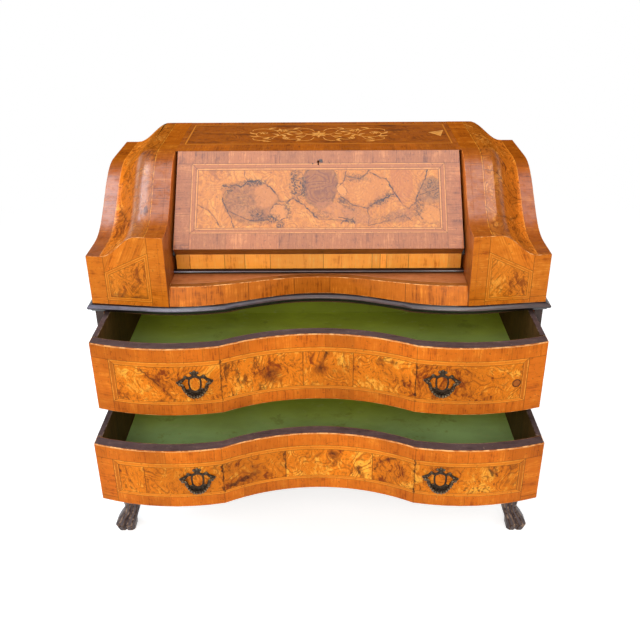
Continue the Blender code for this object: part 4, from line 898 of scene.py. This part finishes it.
def add_long_drawers(pale, dark):
    """The two long drawers, with their own joints, veins, knots and a plug in the veneer."""
    upper = drawer_veneer(
        "upper_drawer_veneer", "upper_drawer_front", 3.0, (-CREASE_X, -0.037, 0.082, CREASE_X),
        (
            (((-0.408, 0.128), (-0.388, 0.106), (-0.360, 0.079), (-0.333, 0.046)), 0.0016, 0.75),
            (((-0.148, 0.078), (-0.127, 0.096)), 0.0018, 0.85),
            (((0.022, 0.128), (0.012, 0.105), (0.006, 0.086)), 0.0036, 0.85),
            (((-0.224, 0.150), (-0.208, 0.135), (-0.196, 0.143), (-0.190, 0.154)), 0.0014, 0.75),
            (((0.300, 0.122), (0.330, 0.127), (0.352, 0.114), (0.354, 0.095), (0.336, 0.085)), 0.0010, 0.6),
            (((0.385, 0.110), (0.400, 0.095), (0.430, 0.100)), 0.0010, 0.5),
        ),
        (
            ((-0.368, 0.092), (0.024, 0.012), -38, 0.45),
            ((-0.111, 0.076), (0.022, 0.026), 10, 0.70),
            ((0.004, 0.082), (0.016, 0.014), 0, 0.50),
        ),
        (-0.215, -0.130),
        (0.458, 0.080),
    )
    lower = drawer_veneer(
        "lower_drawer_veneer", "lower_drawer_front", 5.0, (-0.408, -CREASE_X, -0.080, 0.128, CREASE_X),
        (
            (((-0.210, 0.047), (-0.178, 0.056), (-0.146, 0.065)), 0.0050, 0.80),
            (((-0.081, 0.118), (-0.085, 0.100), (-0.078, 0.085), (-0.080, 0.066)), 0.0018, 0.80),
            (((0.094, 0.067), (0.101, 0.050)), 0.0016, 0.70),
            (((0.134, 0.069), (0.142, 0.090), (0.157, 0.105), (0.189, 0.121), (0.222, 0.118)), 0.0022, 0.65),
            (((0.385, 0.128), (0.396, 0.110), (0.406, 0.090)), 0.0030, 0.75),
            (((0.402, 0.130), (0.413, 0.108), (0.418, 0.086)), 0.0026, 0.75),
            (((0.440, 0.122), (0.450, 0.102), (0.444, 0.085)), 0.0024, 0.70),
            (((0.464, 0.130), (0.455, 0.110)), 0.0026, 0.70),
        ),
        (
            ((0.035, 0.103), (0.013, 0.012), 0, 0.80),
            ((0.094, 0.067), (0.008, 0.008), 0, 0.80),
            ((0.300, 0.120), (0.030, 0.012), -20, 0.35),
        ),
    )
    edge_tones = (rgb(56, 40, 38), rgb(80, 62, 60), rgb(104, 84, 80))
    edge = plain_wood("drawer_edge", "y", "x", edge_tones, 83.0, 0.6, 0.05, rgb(150, 122, 106))
    inside_tones = (rgb(58, 36, 16), rgb(92, 60, 28), rgb(120, 82, 42))
    wall = plain_wood("drawer_wall", "y", "z", inside_tones, 85.0, 0.6, 0.0, rgb(134, 100, 62))
    for drawer, veneer in (("upper_drawer", upper), ("lower_drawer", lower)):
        polished(f"{drawer}_front", [veneer, edge], facing_front, 0.0016, pale)
        paper = lining_paper(drawer)
        for side in ("left", "right"):
            polished(f"{drawer}_side_{side}", [wall, edge], lambda n, m: 1 if n.z > 0.7 else 0, 0.0012, dark)
        polished(f"{drawer}_back", [wall, edge, paper], back_face, 0.0012, dark)
        polished(f"{drawer}_bottom", [paper, wall], lambda n, m: 0 if n.z > 0.7 else 1, 0)


def add_desk(pale):
    """Wings, cheeks, top, fall and everything under and behind it."""
    wing, block = wing_veneer(), block_veneer()
    outer_tones = (rgb(140, 66, 12), rgb(192, 102, 22), rgb(216, 128, 40))
    outer = plain_wood("wing_side", "z", "y", outer_tones, 87.0, 0.42, 0.2)
    cheek_tones = (rgb(164, 74, 24), rgb(224, 120, 42), rgb(250, 152, 64))
    # the cheek is painted darker in its corner before the fall: painted shade, with dust and old wax
    cheek = plain_wood("cheek_wood", "y", "z", cheek_tones, 89.0, 0.45, 0.10, darkening=corner_shade_and_dirt)

    def wing_face(normal, middle):
        if normal.y < -0.6 and normal.z < 0.3:
            return 1
        return 0 if normal.z > 0.12 else 2

    def at_joint(middle):
        return CHEEK_OUTER_X - 0.001 < abs(middle.x) < CHEEK_OUTER_X + 0.001 or middle.z > TOP_Z - 0.004

    def at_side(middle):
        return abs(middle.x) > CHEEK_INNER_X - 0.002

    def fall_face(normal, middle):
        facing = normal.dot(Vector((0.0, -math.sin(FALL_SLOPE), math.cos(FALL_SLOPE))))
        return 0 if facing > 0.9 else (1 if facing < -0.9 else 2)

    for side in ("left", "right"):
        polished(f"wing_{side}", [wing, block, outer], wing_face, 0.0011, pale, at_joint, WING_CREASE_ANGLE)
        polished(f"cheek_{side}", [wing, block, cheek], wing_face, 0.0011, cheek, at_joint, WING_CREASE_ANGLE)
    edge = plain_wood("fall_edge", "z", "x", (rgb(84, 40, 12), rgb(128, 68, 24), rgb(156, 90, 38)), 91.0, 0.45, 0.2)
    desk_tones = (rgb(104, 52, 16), rgb(150, 84, 30), rgb(178, 108, 46))
    desk = plain_wood("desk_walnut", "y", "x", desk_tones, 93.0, 0.45, 0.2)
    polished("top_board", [top_veneer(), edge], lambda n, m: 0 if n.z > 0.7 else 1, 0.0012, edge, at_side)
    polished("fall_board", [fall_veneer(), desk, edge], fall_face, 0.0015, edge)
    rail_joints = (-0.318, -0.232, -0.182, -0.119, 0.012, 0.132, 0.152, 0.168, 0.222)
    rail_tones = (rgb(206, 114, 32), rgb(250, 160, 58), rgb(255, 184, 82))
    rail = rail_veneer("fall_rail_veneer", rail_joints, 95.0, rail_tones, (0.318, 0.318, -0.30))
    apron_tones = (rgb(136, 64, 12), rgb(196, 104, 24), rgb(230, 136, 42))
    # the apron is painted lighter towards its ends, where they turn to face the light: painted light
    apron = rail_veneer("apron_veneer", (-0.170, -0.060, 0.028, 0.210), 97.0, apron_tones, (0.14, 0.30, 0.30), 0.08)
    ledge_tones = (rgb(136, 72, 34), rgb(176, 104, 58), rgb(196, 122, 74))
    ledge = plain_wood("ledge_wood", "y", "x", ledge_tones, 99.0, 0.4, 0.4)
    polished("fall_rail", [rail, desk], facing_front, 0.0008, desk)
    polished("apron", [apron, desk], facing_front, 0.0012, pale)
    polished("ledge", [ledge], whole, 0.001, ledge)
    polished("writing_bed", [desk], whole, 0.0006, desk)
    for side in ("left", "right"):
        polished(f"interior_divider_{side}", [desk], whole, 0.0006, desk)
        polished(f"interior_shelf_{side}", [desk], whole, 0.0006, desk)
        polished(f"small_drawer_{side}", [desk], whole, 0.0006, pale)
    steel = iron()
    for node in ("lock_case", "lock_bolt", "fall_pivot_left", "fall_pivot_right"):
        polished(node, [steel], whole, 0.0003, steel)


def marquetry_wood():
    """Pale yellow inlay with a fine grain, scorched in places for shading."""
    f = Finish("marquetry_wood")
    x, y, z = f.parts(f.place)
    tones = (rgb(208, 124, 38), rgb(232, 154, 62), rgb(244, 178, 90))
    colour, height = grained(f, y, x, 63.0, tones)
    scorch = f.step(f.noise(f.place, 75.0, 3.0, 0.6), 0.52, 0.66)
    colour = f.mix(colour, rgb(150, 80, 16), scorch * 0.5)
    return f.polish(colour, height, rough=0.45, shine=0.15, level=0.12)


def smooth_path(points, steps=6):
    """Points on a smooth curve through the given ones, whatever numbers each one holds."""
    made = []
    for i in range(len(points) - 1):
        p0, p1, p2, p3 = points[max(i - 1, 0)], points[i], points[i + 1], points[min(i + 2, len(points) - 1)]
        for k in range(steps):
            t = k / steps
            made.append(tuple(
                0.5 * (2 * b + (c - a) * t + (2 * a - 5 * b + 4 * c - d) * t ** 2 + (3 * b - a - 3 * c + d) * t ** 3)
                for a, b, c, d in zip(p0, p1, p2, p3)
            ))
    return made + [tuple(points[-1])]


def add_inlay(bm, spine, widths, ground):
    """Thin strip of veneer along a spine, let into a level ground with its face just proud."""
    rows = []
    for i, (x, y) in enumerate(spine):
        before, after = spine[max(i - 1, 0)], spine[min(i + 1, len(spine) - 1)]
        run = Vector((after[0] - before[0], after[1] - before[1])).normalized()
        share = i / (len(spine) - 1) * (len(widths) - 1)
        low = min(int(share), len(widths) - 2)
        half = (widths[low] + (widths[low + 1] - widths[low]) * (share - low)) / 2
        left = (x - run.y * half, y + run.x * half)
        right = (x + run.y * half, y - run.x * half)
        rows.append([bm.verts.new((*place, ground + rise)) for rise in (0.0003, 0.00004) for place in (left, right)])
    for a, b in zip(rows, rows[1:]):
        for p, q in ((0, 1), (1, 3), (3, 2), (2, 0)):
            bm.faces.new((a[p], a[q], b[q], b[p]))
    for row in (rows[0], rows[-1]):
        bm.faces.new((row[0], row[1], row[3], row[2]))


def add_marquetry():
    """Arabesque in pale wood on the top board: a star flower, scrolling stems with leaves, and a wedge let in."""
    middle_y = CASE_FRONT_Y + 0.374
    bm = bmesh.new()
    stem = (0.0012, 0.0030, 0.0028, 0.0024, 0.0016)
    leaf = (0.0006, 0.0070, 0.0086, 0.0056, 0.0005)
    scrolls = (
        ((0.028, 0.000), (0.050, 0.020), (0.078, 0.020), (0.100, 0.000), (0.122, -0.022), (0.150, -0.028),
         (0.171, -0.010), (0.172, 0.014), (0.157, 0.026), (0.143, 0.017), (0.149, 0.006)),
        ((0.048, 0.019), (0.056, 0.042), (0.080, 0.056), (0.103, 0.047), (0.106, 0.031), (0.094, 0.026)),
        ((0.034, -0.006), (0.046, -0.032), (0.068, -0.050), (0.093, -0.046), (0.098, -0.032), (0.087, -0.026)),
        ((0.120, -0.022), (0.130, -0.048), (0.152, -0.060), (0.175, -0.052), (0.180, -0.037), (0.170, -0.032)),
        ((0.108, 0.008), (0.118, 0.036), (0.138, 0.054), (0.162, 0.060), (0.184, 0.048), (0.186, 0.034)),
        ((0.012, 0.030), (0.022, 0.052), (0.040, 0.062), (0.054, 0.054)),
        ((0.012, -0.030), (0.020, -0.054), (0.036, -0.064), (0.050, -0.058)),
    )
    leaves = (
        ((0.060, 0.022), (0.072, 0.030), (0.088, 0.034)), ((0.088, 0.013), (0.082, 0.000), (0.070, -0.008)),
        ((0.112, -0.013), (0.118, 0.002), (0.130, 0.008)), ((0.136, -0.028), (0.142, -0.040), (0.154, -0.046)),
        ((0.072, 0.053), (0.064, 0.064), (0.052, 0.070)), ((0.060, -0.045), (0.052, -0.056), (0.062, -0.070)),
        ((0.103, -0.004), (0.094, -0.014), (0.096, -0.024)), ((0.164, -0.018), (0.178, -0.020), (0.192, -0.012)),
        ((0.172, 0.006), (0.184, 0.010), (0.194, 0.024)), ((0.142, 0.056), (0.134, 0.066), (0.120, 0.070)),
        ((0.152, -0.060), (0.144, -0.068), (0.128, -0.070)), ((0.120, 0.038), (0.110, 0.046), (0.112, 0.060)),
        ((0.044, 0.010), (0.056, 0.004), (0.066, 0.006)), ((0.040, -0.018), (0.054, -0.020), (0.064, -0.030)),
    )
    strips = [(smooth_path(points), stem) for points in scrolls]
    strips += [(smooth_path(points, 5), leaf) for points in leaves]

    def rays(middle, turns, lengths, widths):
        for turn, length in zip(turns, lengths):
            way = Vector((math.cos(math.radians(turn)), math.sin(math.radians(turn))))
            spine = [tuple(Vector(middle) + way * length * share) for share in (0.12, 0.4, 0.7, 1.0)]
            strips.append((spine, widths))

    for middle, length in (((0.157, 0.012), 0.0095), ((0.094, 0.038), 0.0090), ((0.088, -0.037), 0.0090)):
        rays(middle, range(18, 378, 72), [length] * 5, (0.0008, 0.0044, 0.0050, 0.0012))
    rays((0.0, 0.0), (0, 45, -45), (0.038, 0.027, 0.027), (0.0010, 0.0056, 0.0066, 0.0006))
    rays((0.0, 0.0), (-22, 22, -67, 67), (0.020, 0.020, 0.018, 0.018), (0.0008, 0.0030, 0.0034, 0.0006))
    strips += [([(-x, y) for x, y in spine], widths) for spine, widths in strips]
    rays((0.0, 0.0), (90, -90), (0.034, 0.034), (0.0010, 0.0056, 0.0066, 0.0006))
    strips.append((((0.306, 0.014), (0.326, 0.010), (0.3435, 0.006)), (0.0008, 0.0320, 0.0640)))
    for number, (spine, widths) in enumerate(strips):
        # each strip stands a hair above the last one, so that crossing strips never lie in one plane
        add_inlay(bm, [(0.96 * x, middle_y + y) for x, y in spine], widths, TOP_Z + 0.000002 * number)
    bmesh.ops.recalc_face_normals(bm, faces=bm.faces)
    mesh = bpy.data.meshes.new("top_marquetry")
    bm.to_mesh(mesh)
    bm.free()
    mesh.materials.append(marquetry_wood())
    set_out(bpy.data.objects.new("top_marquetry", mesh), "case", "burr_walnut")


def add_bar(bm, stations, sides=12):
    """Round bar through stations of right, up, out and radius, in millimetres."""
    rings = []
    for i, (right, up, out, radius) in enumerate(stations):
        before, after = stations[max(i - 1, 0)], stations[min(i + 1, len(stations) - 1)]
        run = (Vector(after[:3]) - Vector(before[:3])).normalized()
        across = run.cross(Vector((0, 0, 1))) if abs(run.z) < 0.9 else run.cross(Vector((0, 1, 0)))
        across.normalize()
        high = across.cross(run)
        turns = [2 * math.pi * k / sides for k in range(sides)]
        spokes = [across * math.cos(turn) + high * math.sin(turn) for turn in turns]
        rings.append([bm.verts.new((Vector((right, up, out)) + spoke * radius) / 1000) for spoke in spokes])
    for low, high in zip(rings, rings[1:]):
        for k in range(sides):
            bm.faces.new((low[k], low[k - 1], high[k - 1], high[k]))
    bm.faces.new(rings[0])
    bm.faces.new(list(reversed(rings[-1])))


def bead(right, up, out, radius):
    """Stations of a ball on a casting."""
    turns = [math.radians(degrees) for degrees in (-80, -55, -25, 0, 25, 55, 80)]
    return [(right, up, out + radius * math.sin(turn), radius * math.cos(turn)) for turn in turns]


def cast(name, bars, keep):
    """Fuses bars into one casting with soft inner corners."""
    bm = bmesh.new()
    for stations in bars:
        add_bar(bm, stations)
    bmesh.ops.recalc_face_normals(bm, faces=bm.faces)
    mesh = bpy.data.meshes.new(name)
    bm.to_mesh(mesh)
    bm.free()
    pattern = bpy.data.objects.new(name, mesh)
    bpy.context.scene.collection.objects.link(pattern)
    fuse = pattern.modifiers.new("fuse", "REMESH")
    fuse.mode = "VOXEL"
    fuse.voxel_size = 0.0006
    soften = pattern.modifiers.new("soften", "SMOOTH")
    soften.factor = 0.5
    soften.iterations = 2
    thin = pattern.modifiers.new("thin", "DECIMATE")
    thin.ratio = keep
    made = bpy.data.meshes.new_from_object(pattern.evaluated_get(bpy.context.evaluated_depsgraph_get()))
    bpy.data.objects.remove(pattern)
    for face in made.polygons:
        face.use_smooth = True
    return made


def both_sides(bars):
    """The bars and their mirror images."""
    return list(bars) + [[(-right, up, out, radius) for right, up, out, radius in bar] for bar in bars]


def plate_casting():
    """Pierced back plate: lobed crest, knobbed shoulders, pointed ears, garland foot and a shield frame."""
    curves = (
        # right, up and radius: arm, link to the ear, underside of the ear, garland, its inner roll, shield
        ((1, 22, 3.8), (7, 18.5, 3.6), (13, 16.5, 3.4), (21, 19.5, 4.2)),
        ((21, 19.5, 4.2), (26, 13.5, 3.6), (32, 9, 4.4), (42.6, 7, 1.6)),
        ((42.6, 7, 1.6), (35, 2, 3.8), (29, -3, 3.8), (25.5, -9, 4.0)),
        ((25.5, -8, 3.6), (24, -14, 4.0), (20, -20, 4.2), (14, -25, 4.4), (7, -27.5, 4.4), (0, -28.5, 4.6)),
        ((15, -12, 3.2), (10, -19.5, 3.6), (0, -23.0, 3.8)),
        ((10, 18, 2.2), (13, 10, 2.2), (13.6, 3, 2.2), (12.8, -6, 2.2), (10.5, -14, 2.4), (5, -19, 2.6), (0, -20.5, 2.8)),
        ((0, 18, 3.4), (0, 25, 4.4), (0, 33, 3.6)),
        ((1, 21, 2.6), (4, 26, 2.8), (7, 30, 2.6)),
    )
    bars = [[(a, b, 1.0, r) for a, b, r in smooth_path(curve, 4)] for curve in curves]
    knobs = (
        (21, 20, 4.6), (0, 33, 4.2), (7, 30, 3.8), (33, 8, 4.2), (28.5, -4, 3.4),
        (27.5, -10.5, 3.8), (24.5, -17, 4.0), (19.5, -23, 4.2), (12.5, -27.5, 4.2), (4.5, -30, 4.2),
        (16.5, -14.5, 3.2), (11, -20, 3.4), (4, -23.5, 3.4),
    )
    bars += [bead(a, b, 1.8, r) for a, b, r in knobs]
    post = (
        (34, 6, 0.4, 4.4), (34, 6, 2.6, 4.0), (34, 6, 4.2, 3.0), (34, 6, 6.0, 3.2), (34, 6, 7.4, 4.0),
        (34, 6, 9.0, 4.4), (34, 6, 10.6, 3.8), (34, 6, 11.8, 2.2), (34, 6, 12.4, 0.8),
    )
    made = cast("plate_casting", both_sides(bars + [post]), 0.5)
    for vert in made.vertices:
        near_post = abs(abs(vert.co.x) - 0.034) < 0.0048 and abs(vert.co.y - 0.006) < 0.0048
        if not near_post:
            vert.co.z *= 0.66
        vert.co.z = max(vert.co.z, 0.0003)
    return made


def bail_casting():
    """Hanging bail with a scalloped grip and a drop at its middle."""
    half = [(30.4, 0.0, 0.0, 1.5), (28.4, -0.4, 0.0, 1.9), (26.7, -2.2, 0.0, 2.2)]
    for step in range(2, 19):
        angle = math.radians(step * 5)
        swell = 2.2 + 1.4 * (step / 18) ** 1.1
        scallop = 1.0 + 0.20 * math.cos(step * math.pi / 2)
        half.append((26.4 * math.cos(angle), -36.0 * math.sin(angle), 0.0, swell * scallop))
    bars = [half + [(-a, b, n, r) for a, b, n, r in reversed(half[:-1])]]
    for degrees, radius in ((26, 2.8), (40, 3.2), (54, 3.6), (68, 3.9), (81, 4.0)):
        angle = math.radians(degrees)
        for sign in (1, -1):
            bars.append(bead(sign * 27.0 * math.cos(angle), -36.6 * math.sin(angle), 0.8, radius))
    return cast("bail_casting", bars, 0.5)


def add_handles():
    """Four cast handles. Each plate and bail stands in its joint's own frame."""
    metal = bronze()
    plate, bail = plate_casting(), bail_casting()
    joints = {joint["name"]: joint for joint in frame["record"]["behaviour"]["joints"]}
    for drawer in ("upper_drawer", "lower_drawer"):
        for side in ("left", "right"):
            joint = joints[f"{drawer}_bail_{side}_swing"]
            right = -Vector(joint["axis"])
            out = Vector((right.y, -right.x, 0.0))
            turn = Matrix((right, Vector((0.0, 0.0, 1.0)), out)).transposed().to_4x4()
            hang = Matrix.Translation(joint["pos_m"]) @ turn
            seat = hang @ Matrix.Translation((0.0, -0.006, -0.009))
            for part, casting, place in (("plate", plate, seat), ("bail", bail, hang)):
                node = f"{drawer}_handle_{part}_{side}"
                mesh = casting.copy()
                mesh.transform(place)
                mesh.materials.append(metal)
                set_out(bpy.data.objects.new(node + "_cast", mesh), NODES[node]["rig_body"], "bronze", node)


def add_floor():
    """Large pale floor. It takes the shadow near the bureau and fades to white further off."""
    f = Finish("floor_white")
    far = f.node("ShaderNodeVectorMath", {"operation": "LENGTH"}, {0: f.place}, 1)
    speck = f.noise(f.place, 14.0, 4.0, 0.6)
    colour = f.mix((0.80, 0.80, 0.80, 1.0), (0.84, 0.84, 0.84, 1.0), speck)
    matt = f.node("ShaderNodeBsdfDiffuse", {}, {"Color": colour})
    lift = f.node("ShaderNodeEmission", {}, {"Color": (1.0, 1.0, 1.0, 1.0), "Strength": 0.66})
    seen = f.node("ShaderNodeAddShader", {}, {0: matt, 1: lift})
    white = f.node("ShaderNodeEmission", {}, {"Color": (1.0, 1.0, 1.0, 1.0), "Strength": 1.0})
    seen = f.node("ShaderNodeMixShader", {}, {0: f.step(far, 1.3, 3.2), 1: seen, 2: white})
    ray = f.node("ShaderNodeLightPath", output="Is Camera Ray")
    direct = ray.most(ray.output("Is Glossy Ray")).most(ray.output("Is Transmission Ray"))
    material = f.close(f.node("ShaderNodeMixShader", {}, {0: direct, 1: matt, 2: seen}))
    bm = bmesh.new()
    bmesh.ops.create_grid(bm, x_segments=8, y_segments=8, size=60.0)
    mesh = bpy.data.meshes.new("floor")
    bm.to_mesh(mesh)
    bm.free()
    mesh.materials.append(material)
    floor = bpy.data.objects.new("floor", mesh)
    floor.location.z = -0.0002
    bpy.context.scene.collection.objects.link(floor)


def add_lamp(name, place, aim, size, power, colour):
    lamp = bpy.data.lights.new(name, "AREA")
    lamp.shape = "RECTANGLE"
    lamp.size, lamp.size_y = size
    lamp.energy = power
    lamp.color = colour
    holder = bpy.data.objects.new(name, lamp)
    holder.location = place
    holder.rotation_euler = (Vector(aim) - Vector(place)).to_track_quat("-Z", "Y").to_euler()
    bpy.context.scene.collection.objects.link(holder)
    return holder


def add_light():
    """Overhead softbox and side window that show as sheen, a lamp behind the camera and a studio bright in front.

    Seen directly, the studio is white along its horizon, as the floor is.
    """
    add_lamp("overhead_softbox", (0.0, -0.55, 3.60), (0.0, -0.55, 0.0), (3.0, 2.10), 46.0, (0.80, 0.89, 1.0))
    add_lamp("side_window", (-2.3, 0.0, 2.60), (-0.43, 0.0, 0.95), (1.6, 1.6), 30.0, (0.62, 0.80, 1.0))
    add_lamp("front_lamp", (-0.3, -3.6, 2.65), (0.0, -0.2, 0.6), (3.2, 1.6), 96.0, (1.0, 0.97, 0.93))
    f = Finish("studio", bpy.data.worlds.new("studio"))
    x, y, z = f.parts(f.place.output("Generated"))
    light = f.mix((0.62, 0.60, 0.58, 1.0), (0.10, 0.10, 0.10, 1.0), f.step(y, -0.45, 0.55))
    ray = f.node("ShaderNodeLightPath", output="Is Camera Ray")
    direct = ray.most(ray.output("Is Glossy Ray")).most(ray.output("Is Transmission Ray"))
    light = f.mix(light, (1.0, 1.0, 1.0, 1.0), direct * (1 - f.step(z, 0.10, 0.20)))
    f.node("ShaderNodeOutputWorld", sockets={0: f.node("ShaderNodeBackground", {}, {"Color": light})})
    bpy.context.scene.world = f.material


def add_camera():
    """Camera solved from the photo's perspective, for a 640 by 640 frame."""
    pitch, roll, yaw = math.radians(27.593), math.radians(-0.436), math.radians(-0.536)
    ahead = Vector((math.sin(yaw) * math.cos(pitch), math.cos(yaw) * math.cos(pitch), -math.sin(pitch)))
    right = Vector((math.cos(yaw), -math.sin(yaw), 0.0))
    up = right.cross(ahead)
    level = right * math.cos(roll) + up * math.sin(roll)
    upright = up * math.cos(roll) - right * math.sin(roll)
    turn = Matrix((level, upright, -ahead)).transposed()
    lens = bpy.data.cameras.new("photo_camera")
    lens.sensor_fit = "HORIZONTAL"
    lens.sensor_width = 36.0
    lens.lens = 803.23 * 36.0 / 640.0
    lens.clip_end = 200.0
    camera = bpy.data.objects.new("photo_camera", lens)
    camera.matrix_world = Matrix.Translation((0.0196, CASE_FRONT_Y - 1.7589, 1.6037)) @ turn.to_4x4()
    bpy.context.scene.collection.objects.link(camera)
    bpy.context.scene.camera = camera


add_camera()
add_light()
add_floor()
RUBBED, STAINED = worn_arris(), dark_arris()
add_case(RUBBED, STAINED)
add_long_drawers(RUBBED, STAINED)
add_desk(RUBBED)
add_marquetry()
add_handles()
bpy.context.scene.view_settings.view_transform = "Standard"
bpy.context.view_layer.update()
